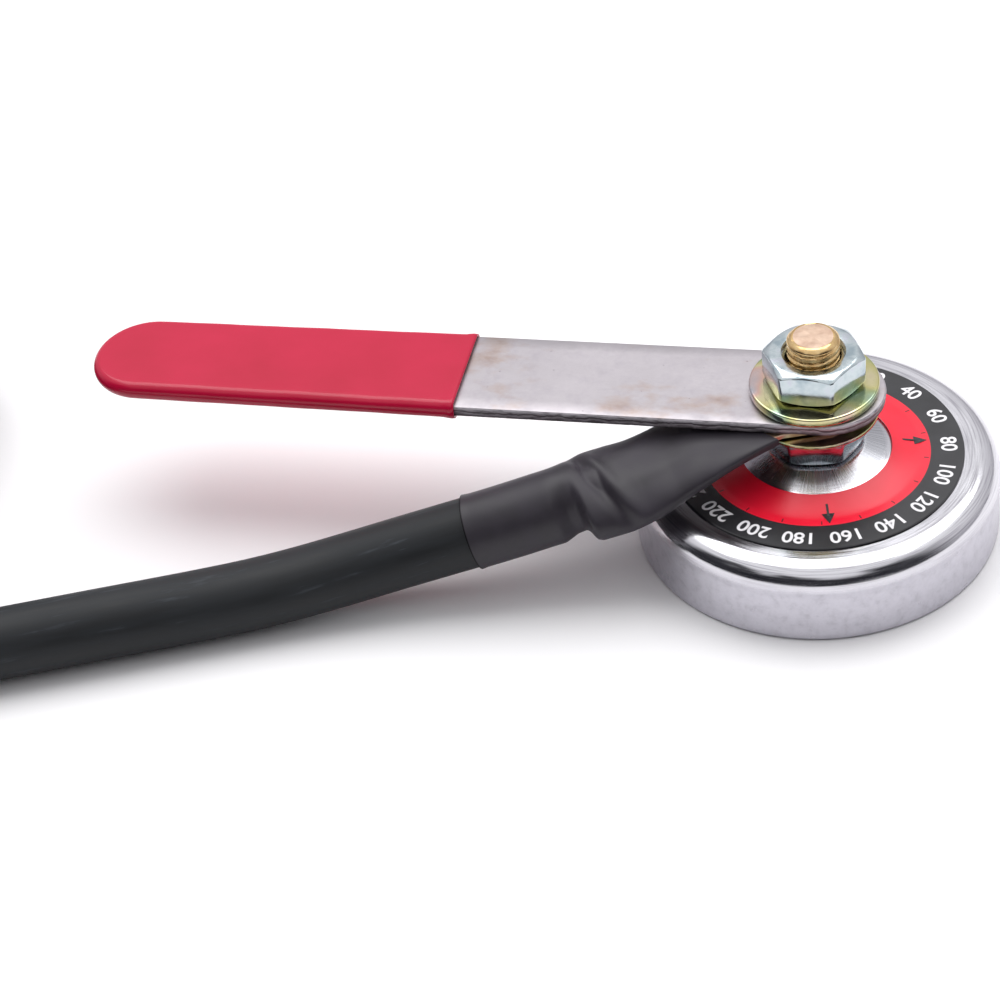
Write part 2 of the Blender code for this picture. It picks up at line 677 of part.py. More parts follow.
def heat_shrink_sleeve(path):
    """Shrink sleeve over the cable's end and the lug: round at its mouth and flat at the palm."""
    places = np.concatenate([np.linspace(SLEEVE_START, 0.056, 20), [0.0604, 0.0648, SLEEVE_MOUTH]])
    outer = sleeve_rings(path, places, 28, 0.0)
    inner = sleeve_rings(path, places, 28, SLEEVE_WALL)
    black = material("black_polyolefin", (0.025, 0.025, 0.027), 0.5, 0.0)
    return open_loft("heat_shrink_sleeve", outer, inner, black)


def cable_lug(path):
    """Tinned copper lug: flat palm with the stud's hole, a neck that bends down, and a barrel."""
    palm_end = [-PALM_HALF_WIDTH * math.cos(math.radians(a)) for a in (8, 24, 42, 62)]
    places = palm_end + [0.0, 0.0045, 0.0090, 0.0135] + list(np.linspace(0.0165, LUG_BARREL_START, 8))
    places.append(LUG_END)
    rings = []
    for place, size in zip(places, section_table(LUG_SECTIONS, places)):
        if place < 0:
            size[:2] = math.sqrt(PALM_HALF_WIDTH**2 - place**2)
        rings.append(section_ring(path, place, size, 24))
    copper = material("tinned_copper", (0.72, 0.62, 0.52), 0.3, 1.0)
    lug = loft("cable_lug", rings, copper)
    hole = cylinder("lug_hole", STUD_RADIUS + GAP, PALM_Z - GAP, PALM_Z + PALM_THICKNESS + GAP, 28)
    cut(lug, hole)
    bore = loft("lug_bore", round_rings(path, LUG_BARREL_START, LUG_END + GAP, LUG_BORE_RADIUS, 4, 20))
    cut(lug, bore)
    return lug


def round_rings(path, start, end, radius, steps, count):
    """Circles along the path between two places."""
    size = (radius, radius, radius, 2.0, 0.0)
    return [section_ring(path, place, size, count) for place in np.linspace(start, end, steps)]


def cable_core(path):
    """The stripped strands in the lug's barrel."""
    strands = material("copper_strands", (0.72, 0.38, 0.22), 0.35, 1.0)
    rings = round_rings(path, LUG_BARREL_START + GAP, LUG_END, CORE_RADIUS, 4, 16)
    return loft("lug_cable_core", rings, strands)


def rubber():
    """The cable's sheath."""
    return material("black_rubber", (0.02, 0.021, 0.022), 0.6, 0.0)


def cable_run(path):
    """The cable from the lug down to the floor and along it to the coil."""
    places = np.linspace(CABLE_START, path.length, CABLE_POINTS)
    return tube("cable_run", [tuple(path.at(place)) for place in places], CABLE_RADIUS, rubber())


def cable_coil():
    """The spare cable, as one ring with the outer shape of its turns."""
    inner, outer = COIL_RADIUS - COIL_HALF_WIDTH, COIL_RADIUS + COIL_HALF_WIDTH
    low, high = COIL_BASE, COIL_BASE + COIL_HEIGHT
    corner = CABLE_RADIUS * 0.8
    profile = arc((outer - corner, high - corner), corner, 90, 0, 3)
    profile += arc((outer - corner, low + corner), corner, 0, -90, 3)
    profile += arc((inner + corner, low + corner), corner, -90, -180, 3)
    profile += arc((inner + corner, high - corner), corner, 180, 90, 3)
    coil = turned("cable_coil", profile, 44, rubber())
    coil.location = (*COIL_CENTRE, 0)
    return coil


def rounded_box(half_x, half_y, corner):
    """The outline of a rectangle with round corners."""
    points = []
    for sign_x, sign_y, start in ((1, 1, 0), (-1, 1, 90), (-1, -1, 180), (1, -1, 270)):
        centre = (sign_x * (half_x - corner), sign_y * (half_y - corner))
        points += arc(centre, corner, start, start + 90, 3)
    return points


def coil_ties():
    """Straps round the bundle of turns."""
    webbing = material("black_webbing", (0.03, 0.03, 0.032), 0.85, 0.0)
    middle = COIL_BASE + COIL_HEIGHT / 2
    curve_room = TIE_WIDTH**2 / 8 / (COIL_RADIUS - COIL_HALF_WIDTH)
    for number, degrees in enumerate(TIE_ANGLES, 1):
        half_x, half_y = COIL_HALF_WIDTH + curve_room + GAP, COIL_HEIGHT / 2 + GAP
        inside = rounded_box(half_x, half_y, CABLE_RADIUS * 0.8)
        outside = rounded_box(half_x + TIE_THICKNESS, half_y + TIE_THICKNESS, CABLE_RADIUS * 0.8)
        tie = plate(f"coil_tie_{number}", [outside, inside], TIE_WIDTH, webbing)
        angle = math.radians(degrees)
        tie.data.transform(Matrix.Translation((0, 0, TIE_WIDTH / 2)))
        upright = Matrix.Rotation(math.pi / 2, 4, "X")
        spot = Vector((COIL_CENTRE[0] + COIL_RADIUS * math.cos(angle),
                       COIL_CENTRE[1] + COIL_RADIUS * math.sin(angle), middle))
        tie.matrix_world = (Matrix.Translation(spot) @ Matrix.Rotation(angle, 4, "Z") @ upright
                            @ Matrix.Translation((0, 0, -TIE_WIDTH / 2)))


# Plug, built about its own axis with the cable end at zero, then laid on the floor

def plug_boot():
    """Rubber boot: tapered outside, a close hole for the cable and a chamber for the body."""
    throat = CABLE_RADIUS + GAP
    chamber = PLUG_BODY_RADIUS + GAP
    step = PLUG_CABLE_DEPTH
    outside = [(PLUG_BOOT_RADIUS - 0.0012, PLUG_BOOT_LENGTH),
               (PLUG_BOOT_RADIUS, PLUG_BOOT_LENGTH - 0.0012), (PLUG_BOOT_RADIUS, 0.0300),
               (PLUG_BOOT_NOSE_RADIUS + 0.0008, 0.0060), (PLUG_BOOT_NOSE_RADIUS, 0.0)]
    seat = PLUG_COLLAR_START - GAP
    inside = [(throat, 0.0), (throat, step), (chamber, step), (chamber, seat),
              (PLUG_COLLAR_RADIUS + GAP, seat), (PLUG_COLLAR_RADIUS + GAP, PLUG_BOOT_LENGTH)]
    soft = material("boot_rubber", (0.03, 0.03, 0.032), 0.65, 0.0)
    boot = turned("plug_boot", outside + inside, 36, soft)
    lay_on_plug_axis(boot)
    return boot


def plug_body():
    """Brass body with the strands' bore, a collar, and the contact pin with its bayonet key."""
    start = PLUG_CABLE_DEPTH + GAP
    collar_end = PLUG_COLLAR_START + PLUG_COLLAR_LENGTH
    tip = collar_end + PLUG_PIN_LENGTH
    profile = [(0, tip), (PLUG_PIN_RADIUS - 0.0008, tip), (PLUG_PIN_RADIUS, tip - 0.0008),
               (PLUG_PIN_RADIUS, collar_end), (PLUG_COLLAR_RADIUS, collar_end),
               (PLUG_COLLAR_RADIUS, PLUG_COLLAR_START), (PLUG_BODY_RADIUS, PLUG_COLLAR_START),
               (PLUG_BODY_RADIUS, start), (PLUG_BORE_RADIUS, start),
               (PLUG_BORE_RADIUS, start + PLUG_BORE_DEPTH), (0, start + PLUG_BORE_DEPTH)]
    brass = material("plug_brass", (0.78, 0.60, 0.30), 0.3, 1.0)
    body = turned("plug_body", profile, 32, brass)
    lay_on_plug_axis(body)
    width, length, height = PLUG_KEY
    key = box_cutter("plug_key", (width, height + PLUG_PIN_RADIUS, length))
    key.matrix_world = body.matrix_world @ Matrix.Translation(
        (0, -(height + PLUG_PIN_RADIUS) / 2, tip - 0.0040 - length / 2))
    cut(body, key, "UNION")
    for place in PLUG_SCREW_PLACES:
        hole = cylinder("screw_hole", PLUG_SCREW_RADIUS + GAP, 0, 2 * PLUG_BODY_RADIUS, 16)
        hole.matrix_world = body.matrix_world @ screw_seat(start + place, 0.0)
        cut(body, hole)
    return body


def box_cutter(name, size):
    """A box of the given size about the origin, as a cutter."""
    mesh = bpy.data.meshes.new(name)
    work = bmesh.new()
    bmesh.ops.create_cube(work, size=1.0)
    bmesh.ops.scale(work, vec=size, verts=work.verts)
    work.to_mesh(mesh)
    work.free()
    return new_object(name, mesh)


def screw_seat(place, depth):
    """A frame on the plug's body with +Z pointing out of its upper side, at the depth from the axis."""
    return Matrix.Translation((0, -depth, place)) @ Matrix.Rotation(math.pi / 2, 4, "X")


def plug_screws():
    """The two set screws that grip the strands."""
    steel = material("black_screws", (0.10, 0.10, 0.11), 0.4, 1.0)
    top = PLUG_BODY_RADIUS - GAP
    low = PLUG_BORE_RADIUS + GAP
    for number, place in enumerate(PLUG_SCREW_PLACES, 1):
        screw = cylinder(f"plug_set_screw_{number}", PLUG_SCREW_RADIUS, 0, top - low, 16, steel)
        lay_on_plug_axis(screw)
        screw.matrix_world = screw.matrix_world @ screw_seat(PLUG_CABLE_DEPTH + GAP + place, low)


def plug_core():
    """The stripped strands in the plug's body."""
    strands = material("plug_strands", (0.72, 0.38, 0.22), 0.35, 1.0)
    low = PLUG_CABLE_DEPTH + GAP
    core = cylinder("plug_cable_core", PLUG_BORE_RADIUS - GAP, low,
                    low + PLUG_BORE_DEPTH - GAP, 20, strands)
    lay_on_plug_axis(core)
    return core


def cable_tail():
    """The cable's end, from the coil's outer turn down into the plug's boot."""
    turn = round_the_coil()
    path = Path([tuple(turn @ Vector(knot)) for knot in TAIL_ROUTE])
    places = np.linspace(0, path.length, 6)
    return tube("cable_tail", [tuple(path.at(place)) for place in places], CABLE_RADIUS, rubber())


def build():
    """Makes every sub-part."""
    magnet_cup()
    face_label()
    magnet_insides()
    contact_stud()
    fasteners()
    lever_strip()
    lever_grip()
    lead = Path(lead_route())
    cable_lug(lead)
    cable_core(lead)
    heat_shrink_sleeve(lead)
    cable_run(lead)
    cable_coil()
    coil_ties()
    cable_tail()
    plug_boot()
    plug_body()
    plug_screws()
    plug_core()


build()
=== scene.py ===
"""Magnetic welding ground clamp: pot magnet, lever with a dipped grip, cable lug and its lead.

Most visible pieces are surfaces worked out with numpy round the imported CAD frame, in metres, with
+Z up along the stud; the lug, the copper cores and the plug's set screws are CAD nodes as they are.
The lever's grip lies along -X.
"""
import math

import bmesh
import bpy
import numpy as np
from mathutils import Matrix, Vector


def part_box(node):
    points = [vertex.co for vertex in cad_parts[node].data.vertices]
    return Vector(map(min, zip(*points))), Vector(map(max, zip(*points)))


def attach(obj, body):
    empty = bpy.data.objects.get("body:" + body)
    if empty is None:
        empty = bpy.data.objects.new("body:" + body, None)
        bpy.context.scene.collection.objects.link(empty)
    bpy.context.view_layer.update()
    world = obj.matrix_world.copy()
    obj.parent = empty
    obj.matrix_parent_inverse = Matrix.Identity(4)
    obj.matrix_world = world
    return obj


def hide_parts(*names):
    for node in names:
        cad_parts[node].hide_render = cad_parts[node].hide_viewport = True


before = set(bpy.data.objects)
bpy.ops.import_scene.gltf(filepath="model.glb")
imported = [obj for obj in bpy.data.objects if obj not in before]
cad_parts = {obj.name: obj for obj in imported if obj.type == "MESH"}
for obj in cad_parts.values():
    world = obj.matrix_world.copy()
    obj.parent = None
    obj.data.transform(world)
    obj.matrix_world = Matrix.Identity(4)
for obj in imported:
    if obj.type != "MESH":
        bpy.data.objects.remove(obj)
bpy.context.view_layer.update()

MM = 0.001
MERGE = 1e-7

# Heights and radii of the CAD model
CUP_RADIUS = 0.0347
CUP_FACE = 0.0161
CUP_WALL = 0.0020
CUP_SHOULDER = 0.0046
BOSS_FOOT_RADIUS = 0.0200
BOSS_TOP_RADIUS = 0.0094
BOSS_TOP = 0.0195
LABEL_TOP = CUP_FACE + 0.0004
LABEL_INNER, LABEL_SPLIT, LABEL_OUTER = 0.0144, 0.0216, 0.0279
NUMBER_RADIUS = 0.0249  # of the circle through the middle of the numbers
STUD_RADIUS = 0.0049
STUD_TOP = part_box("contact_stud")[1][2]
CONTACT_RADIUS = 0.0110
NECK_BOTTOM, NECK_TOP, NECK_RADIUS = 0.0138, 0.01735, 0.0078
THREAD_PITCH = 0.0015
THREAD_DEPTH = 0.00045
NUT_ACROSS_FLATS = 0.0170
NUT_BORE_RADIUS = 0.0052
NUT_CROWN_RADIUS = 0.0082  # of the flat inside the chamfer
WASHER_RADIUS = 0.0121
STUD_HOLE_RADIUS = 0.0054  # in the washers and the lever
STRIP_Z = 0.0293
STRIP_THICKNESS = 0.0022
STRIP_WIDTH, STRIP_TIP_WIDTH = 0.0221, 0.0211
STRIP_REACH, STRIP_PAST_STUD = 0.1412, 0.0133
GRIP_REACH, GRIP_MOUTH = 0.1427, 0.0668
GRIP_HALF_WIDTH, GRIP_TIP_RADIUS = 0.01165, 0.01115
GRIP_HALF_THICKNESS = 0.0019
GRIP_EDGE_RADIUS = 0.0017
GRIP_WALL = 0.0005
LEVER_DROOP = math.radians(0.45)
CABLE_RADIUS = 0.0068
CABLE_START = 0.0565  # along the lead, hidden inside the sleeve
SLEEVE_START, SLEEVE_MOUTH = 0.0133, 0.0692
SLEEVE_WALL = 0.00022
LUG_BARREL_CLEARANCE = 0.0057  # from the lead's centre line to the sleeve over the lug's barrel
COIL_CENTRE = (-0.2680, -0.0163)
COIL_RADIUS = 0.0720
COIL_PITCH = 0.0138
COIL_LOW = 0.0083  # height of the lower layer's centre line
COIL_ENTRY, COIL_SWEEP = -67.9, 1890.1  # degrees: where the cable joins the coil, how far it winds
TIE_CENTRE_HEIGHT = 0.01525
PLUG_X, PLUG_Y, PLUG_Z = -0.3538, 0.0500, 0.0134  # set out along +Y beside the coil
PLUG_TURN = math.radians(22)  # and turned about the coil's centre

# The centre line of the lead, as in the CAD source
LEAD_ROUTE = np.array([
    (0.0000, 0.0000, 0.02815), (-0.0105, -0.0060, 0.02815), (-0.0190, -0.0108, 0.0264),
    (-0.0274, -0.0154, 0.0230), (-0.0349, -0.0187, 0.0207), (-0.0418, -0.0210, 0.0190),
    (-0.0486, -0.0234, 0.0174), (-0.0560, -0.0259, 0.0157), (-0.0651, -0.0283, 0.0134),
    (-0.0745, -0.0310, 0.0112), (-0.0839, -0.0342, 0.0093), (-0.0932, -0.0378, 0.0079),
    (-0.1020, -0.0413, 0.0071), (-0.1108, -0.0449, 0.0069), (-0.1285, -0.0521, 0.0069),
    (-0.1461, -0.0593, 0.0069), (-0.1640, -0.0666, 0.0069), (-0.1903, -0.0772, 0.0069),
    (-0.2130, -0.0865, 0.0076), (-0.2357, -0.0958, COIL_LOW),
])
TAIL_ROUTE = np.array([
    (PLUG_X, 0.0000, 0.0218), (PLUG_X, 0.0165, 0.0204), (PLUG_X, 0.0330, 0.0160),
    (PLUG_X, 0.0430, 0.0140), (PLUG_X, 0.0500, PLUG_Z), (PLUG_X, 0.0575, PLUG_Z),
    (PLUG_X, 0.0640, PLUG_Z),
])


# Meshes

def grid_piece(name, grid, wrap_rows=False, wrap_columns=False, uv=None, sharp=32, attribute=None):
    """A mesh object through a grid of points: the quad of every cell, the last joined to the first
    where an axis wraps. Points that coincide are merged, which closes poles and seams. uv gives
    (u of each row, v of each column), with one more number than points where that axis wraps.
    """
    rows, columns = grid.shape[:2]
    i, j = np.meshgrid(np.arange(rows - (not wrap_rows)), np.arange(columns - (not wrap_columns)),
                       indexing="ij")
    i, j = i.ravel(), j.ravel()
    next_i, next_j = (i + 1) % rows, (j + 1) % columns
    quads = np.stack([i * columns + j, i * columns + next_j, next_i * columns + next_j,
                      next_i * columns + j], axis=1)
    mesh = bpy.data.meshes.new(name)
    mesh.from_pydata(grid.reshape(-1, 3), [], quads.tolist())
    if uv is not None:
        layer = mesh.uv_layers.new(name="surface")
        u = np.stack([uv[0][i], uv[0][i], uv[0][i + 1], uv[0][i + 1]], axis=1)
        v = np.stack([uv[1][j], uv[1][j + 1], uv[1][j + 1], uv[1][j]], axis=1)
        layer.data.foreach_set("uv", np.stack([u, v], axis=2).astype(np.float32).ravel())
    if attribute is not None:
        layer = mesh.attributes.new(attribute[0], "FLOAT", "POINT")
        layer.data.foreach_set("value", attribute[1].astype(np.float32).ravel())
    return finished_mesh(name, mesh, sharp)


def finished_mesh(name, mesh, sharp):
    """The mesh with coincident points merged, normals outwards and smooth up to the sharp angle."""
    work = bmesh.new()
    work.from_mesh(mesh)
    bmesh.ops.remove_doubles(work, verts=work.verts, dist=MERGE)
    bmesh.ops.dissolve_degenerate(work, edges=work.edges, dist=MERGE)
    bmesh.ops.recalc_face_normals(work, faces=work.faces)
    work.to_mesh(mesh)
    work.free()
    mesh.shade_smooth()
    mesh.set_sharp_from_angle(angle=math.radians(sharp))
    piece = bpy.data.objects.new(name, mesh)
    bpy.context.scene.collection.objects.link(piece)
    return piece


def rounded(corners, steps=6):
    """A closed profile from (radius, height, rounding): each corner becomes the parabola that
    touches both its sides at a distance of rounding from the corner.
    """
    points = np.array(corners, float)
    t = np.linspace(0, 1, steps)[:, None]
    profile = []
    for before, corner, after in zip(np.roll(points, 1, 0), points, np.roll(points, -1, 0)):
        here = corner[:2]
        if corner[2] < MERGE:
            profile.append(here[None])
            continue
        start = here + (before[:2] - here) / np.linalg.norm(before[:2] - here) * corner[2]
        end = here + (after[:2] - here) / np.linalg.norm(after[:2] - here) * corner[2]
        profile.append((1 - t)**2 * start + 2 * t * (1 - t) * here + t**2 * end)
    return np.concatenate(profile)


def turned(name, profile, steps=160, place=None, sharp=32, closed=True):
    """A profile of (radius, height) points carried round Z: x = r cos a, y = r sin a. It is
    closed, or starts and ends on the axis. place, if given, moves the finished points.
    """
    angle = 2 * np.pi * np.arange(steps) / steps
    radius, height = profile[:, 0], profile[:, 1]
    grid = np.stack([np.outer(np.cos(angle), radius), np.outer(np.sin(angle), radius),
                     np.tile(height, (steps, 1))], axis=2)
    if place is not None:
        grid = place(grid)
    uv = (np.linspace(0, 1, steps + 1), np.linspace(0, 1, len(profile) + closed))
    return grid_piece(name, grid, True, closed, uv, sharp)


def smooth_line(knots, step):
    """Points a step apart along cubic Hermite spans, with slopes from the neighbouring knots."""
    chord = np.concatenate([[0], np.cumsum(np.linalg.norm(np.diff(knots, axis=0), axis=1))])
    slope = np.gradient(knots, chord, axis=0)
    t = np.linspace(0, 1, 60, endpoint=False)[:, None]
    spans = []
    for i in range(len(knots) - 1):
        span = chord[i + 1] - chord[i]
        spans.append((2 * t**3 - 3 * t**2 + 1) * knots[i] + (t**3 - 2 * t**2 + t) * span * slope[i]
                     + (3 * t**2 - 2 * t**3) * knots[i + 1] + (t**3 - t**2) * span * slope[i + 1])
    return spaced(np.concatenate(spans + [knots[-1:]]), step)


def spaced(line, step):
    """The line read again at even distances."""
    along = line_distance(line)
    places = np.linspace(0, along[-1], int(round(along[-1] / step)) + 1)
    return at_distance(line, places)


def line_distance(line):
    """The distance along a line at each of its points."""
    return np.concatenate([[0], np.cumsum(np.linalg.norm(np.diff(line, axis=0), axis=1))])


def at_distance(line, places):
    """The points of a line at distances along it."""
    along = line_distance(line)
    return np.stack([np.interp(places, along, line[:, k]) for k in range(3)], axis=1)


def line_frames(line):
    """Tangent, level front direction and upward normal at each point of a line."""
    ahead = np.gradient(line, axis=0)
    ahead /= np.linalg.norm(ahead, axis=1)[:, None]
    front = np.cross((0.0, 0.0, 1.0), ahead)
    front /= np.linalg.norm(front, axis=1)[:, None]
    return ahead, front, np.cross(ahead, front)


def tube_grid(line, radius, count):
    """Circles of count points round each point of the line: p + r (cos a front + sin a up)."""
    _, front, up = line_frames(line)
    angle = 2 * np.pi * np.arange(count) / count
    return (line[:, None] + radius * np.cos(angle)[None, :, None] * front[:, None]
            + radius * np.sin(angle)[None, :, None] * up[:, None])


def ease(x):
    """A smooth step from 0 to 1."""
    x = np.clip(x, 0, 1)
    return x * x * (3 - 2 * x)


def bump(x, centre, width):
    """A bell of height 1 and the given half width about a centre."""
    return np.exp(-((x - centre) / width)**2)


def drooped(grid):
    """Points of the lever tilted about the Y axis at the strip's underside."""
    x, z = grid[..., 0], grid[..., 2] - STRIP_Z
    c, s = math.cos(LEVER_DROOP), math.sin(LEVER_DROOP)
    return np.stack([x * c - z * s, grid[..., 1], STRIP_Z + x * s + z * c], axis=-1)


def round_the_coil(points):
    """Points turned by the plug's turn about the coil's upright axis."""
    x, y = points[..., 0] - COIL_CENTRE[0], points[..., 1] - COIL_CENTRE[1]
    c, s = math.cos(PLUG_TURN), math.sin(PLUG_TURN)
    return np.stack([COIL_CENTRE[0] + x * c - y * s, COIL_CENTRE[1] + x * s + y * c,
                     points[..., 2]], axis=-1)


def along_plug(grid):
    """Points turned about Z laid on the plug's axis, with +Z away from the cable and -Y upwards."""
    return round_the_coil(np.stack([PLUG_X + grid[..., 0], PLUG_Y + grid[..., 2],
                                    PLUG_Z - grid[..., 1]], axis=-1))


# Materials

def linear(colour):
    """A hex colour as linear red, green, blue and an alpha of 1."""
    values = [int(colour[k:k + 2], 16) / 255 for k in (1, 3, 5)]
    return (*[v / 12.92 if v <= 0.04045 else ((v + 0.055) / 1.055)**2.4 for v in values], 1.0)


def add(tree, kind, settings=None, **links):
    """Adds a node. settings are properties, or default values of sockets by name or number;
    links join sockets, with _ for a space, to a node's first output or to the output given.
    """
    node = tree.nodes.new("ShaderNode" + kind)
    for key, value in (settings or {}).items():
        if isinstance(key, str) and hasattr(node, key):
            setattr(node, key, value)
        else:
            node.inputs[key].default_value = value
    for key, source in links.items():
        name = int(key[1:]) if key[0] == "i" and key[1:].isdigit() else key.replace("_", " ")
        output = source if isinstance(source, bpy.types.NodeSocket) else source.outputs[0]
        tree.links.new(output, node.inputs[name])
    return node


def new_material(name, **settings):
    """A Principled material with the settings on the shader's own sockets."""
    made = bpy.data.materials.new(name)
    made.use_nodes = True
    shader = made.node_tree.nodes["Principled BSDF"]
    for key, value in settings.items():
        shader.inputs[key.replace("_", " ")].default_value = value
    return made, made.node_tree, shader


def ramp(tree, source, stops):
    """A colour ramp over (position, hex colour) stops."""
    node = add(tree, "ValToRGB", Fac=source)
    elements = node.color_ramp.elements
    while len(elements) < len(stops):
        elements.new(0.5)
    for element, (position, colour) in zip(elements, stops):
        element.position = position
        element.color = linear(colour)
    return node


def spread(tree, source, low, high, to_low, to_high):
    """The source mapped from one range to another and clamped."""
    return add(tree, "MapRange", {"From Min": low, "From Max": high, "To Min": to_low,
                                  "To Max": to_high}, Value=source)


def noise(tree, size, detail=3.0, stretch=(1, 1, 1), rough=0.5, source=None):
    """Noise with features of the given size in metres, on Object coordinates unless given."""
    coordinates = source or add(tree, "TexCoord").outputs["Object"]
    mapping = add(tree, "Mapping", {"Scale": tuple(1 / (size * k) for k in stretch)},
                  Vector=coordinates)
    return add(tree, "TexNoise", {"Scale": 1.0, "Detail": detail, "Roughness": rough},
               Vector=mapping)


def mix(tree, share, first, second):
    """A colour mix; first and second are hex colours or sockets."""
    node = add(tree, "Mix", {"data_type": "RGBA"})
    for name, value in (("Factor", share), ("A", first), ("B", second)):
        socket = [s for s in node.inputs if s.name == name and s.enabled][0]
        if isinstance(value, str):
            socket.default_value = linear(value)
        elif isinstance(value, (int, float)):
            socket.default_value = value
        else:
            tree.links.new(value, socket)
    return [s for s in node.outputs if s.enabled][0]


def bumps(tree, shader, source, depth, strength=1.0):
    """Joins a height to the shader's normal, with its depth in metres."""
    node = add(tree, "Bump", {"Distance": depth, "Strength": strength}, Height=source)
    tree.links.new(node.outputs["Normal"], shader.inputs["Normal"])


def plated_steel():
    """Bright nickel plate over deep-drawn steel: polished along the shoulder in fine streaks round
    the cup, hazy down the wall, and dull with scratches that run up the boss.
    """
    made, tree, shader = new_material("bright_plated_drawn_steel", Metallic=1.0)
    place = add(tree, "TexCoord").outputs["Object"]
    flat = add(tree, "VectorMath", {"operation": "MULTIPLY", 1: (1, 1, 0)}, i0=place)
    radius = add(tree, "VectorMath", {"operation": "LENGTH"}, i0=flat).outputs["Value"]
    height = add(tree, "SeparateXYZ", Vector=place).outputs["Z"]
    round_cup = add(tree, "VectorMath", {"operation": "NORMALIZE"}, i0=flat)
    down = add(tree, "Math", {"operation": "SUBTRACT"}, i0=height, i1=radius)
    across = add(tree, "CombineXYZ", Z=down.outputs[0])
    # a streak is a third of a radian long and 0.35 mm wide
    turned_part = add(tree, "VectorMath", {"operation": "SCALE", "Scale": 3.0}, i0=round_cup)
    narrow = add(tree, "VectorMath", {"operation": "SCALE", "Scale": 1 / (0.35 * MM)}, i0=across)
    streak_place = add(tree, "VectorMath", {"operation": "ADD"}, i0=turned_part, i1=narrow)
    streaks = add(tree, "TexNoise", {"Scale": 1.0, "Detail": 3.0}, Vector=streak_place)
    # scratches on the boss are 1.5 degrees wide and run along the radius
    fan = add(tree, "VectorMath", {"operation": "SCALE", "Scale": 40.0}, i0=round_cup)
    scratches = add(tree, "TexNoise", {"Scale": 1.0, "Detail": 2.0}, Vector=fan)
    haze = noise(tree, 7 * MM, 5.0, rough=0.65)
    blots = noise(tree, 2.2 * MM, 3.0, rough=0.7)
    wall = spread(tree, height, 0.0130, 0.0112, 0.0, 1.0).outputs[0]
    boss = spread(tree, radius, 0.0146, 0.0128, 0.0, 1.0).outputs[0]
    polish = spread(tree, streaks.outputs[0], 0.35, 0.75, 0.10, 0.24).outputs[0]
    satin = spread(tree, haze.outputs[0], 0.3, 0.7, 0.26, 0.40).outputs[0]
    outer = add(tree, "Mix", {"data_type": "FLOAT"}, Factor=wall, A=polish, B=satin)
    dull = spread(tree, scratches.outputs[0], 0.3, 0.7, 0.22, 0.29).outputs[0]
    rough = add(tree, "Mix", {"data_type": "FLOAT"}, Factor=boss, A=outer.outputs[0], B=dull)
    tree.links.new(rough.outputs[0], shader.inputs["Roughness"])
    bright = ramp(tree, streaks.outputs[0], [(0.30, "#B9B7BE"), (0.50, "#D8D7DC"),
                                             (0.75, "#E2E1E6")])
    cloudy = ramp(tree, blots.outputs[0], [(0.28, "#BAB8C0"), (0.45, "#C6C4CC"), (0.62, "#CCCAD2"),
                                           (0.80, "#BDBBC4")])
    grey = ramp(tree, scratches.outputs[0], [(0.30, "#A5A6AB"), (0.70, "#BEBFC4")])
    outside = mix(tree, wall, bright.outputs[0], cloudy.outputs[0])
    tree.links.new(mix(tree, boss, outside, grey.outputs[0]), shader.inputs["Base Color"])
    bumps(tree, shader, streaks.outputs[0], 0.012 * MM, 0.5)
    return made


def printed_film():
    """Printed polyester label: a glossy clear face over red inside and black outside the split."""
    made, tree, shader = new_material("printed_polyester_film", Roughness=0.3, IOR=1.5)
    place = add(tree, "TexCoord").outputs["Object"]
    flat = add(tree, "VectorMath", {"operation": "MULTIPLY", 1: (1, 1, 0)}, i0=place)
    radius = add(tree, "VectorMath", {"operation": "LENGTH"}, i0=flat).outputs["Value"]
    red = ramp(tree, noise(tree, 9 * MM, 2.0).outputs[0], [(0.3, "#EE0C2E"), (0.7, "#F81A3A")])
    black = ramp(tree, noise(tree, 5 * MM, 3.0).outputs[0], [(0.3, "#1E1E21"), (0.7, "#2B2B2F")])
    outside = spread(tree, radius, LABEL_SPLIT - 0.04 * MM, LABEL_SPLIT + 0.04 * MM, 0.0, 1.0)
    tree.links.new(mix(tree, outside.outputs[0], red.outputs[0], black.outputs[0]),
                   shader.inputs["Base Color"])
    bumps(tree, shader, noise(tree, 2.5 * MM, 2.0).outputs[0], 0.02 * MM, 0.25)
    return made


def print_ink(name, colour):
    """Screen-printed ink on the label, slightly uneven."""
    made, tree, shader = new_material(name, Roughness=0.38, IOR=1.5)
    spots = noise(tree, 0.8 * MM, 2.0).outputs[0]
    tone = mix(tree, spread(tree, spots, 0.55, 0.8, 0.0, 0.25).outputs[0], colour, "#77757A")
    tree.links.new(tone, shader.inputs["Base Color"])
    return made


def brass(name, bright, dull, roughness):
    """Turned brass: yellow metal with fine tool rings and a little tarnish."""
    made, tree, shader = new_material(name, Metallic=1.0)
    spots = noise(tree, 1.6 * MM, 4.0)
    tone = ramp(tree, spots.outputs[0], [(0.35, bright), (0.7, dull)])
    tree.links.new(tone.outputs[0], shader.inputs["Base Color"])
    rough = spread(tree, spots.outputs[0], 0.3, 0.7, roughness, roughness + 0.12)
    tree.links.new(rough.outputs[0], shader.inputs["Roughness"])
    bumps(tree, shader, noise(tree, 0.5 * MM, 3.0).outputs[0], 0.02 * MM, 0.4)
    return made


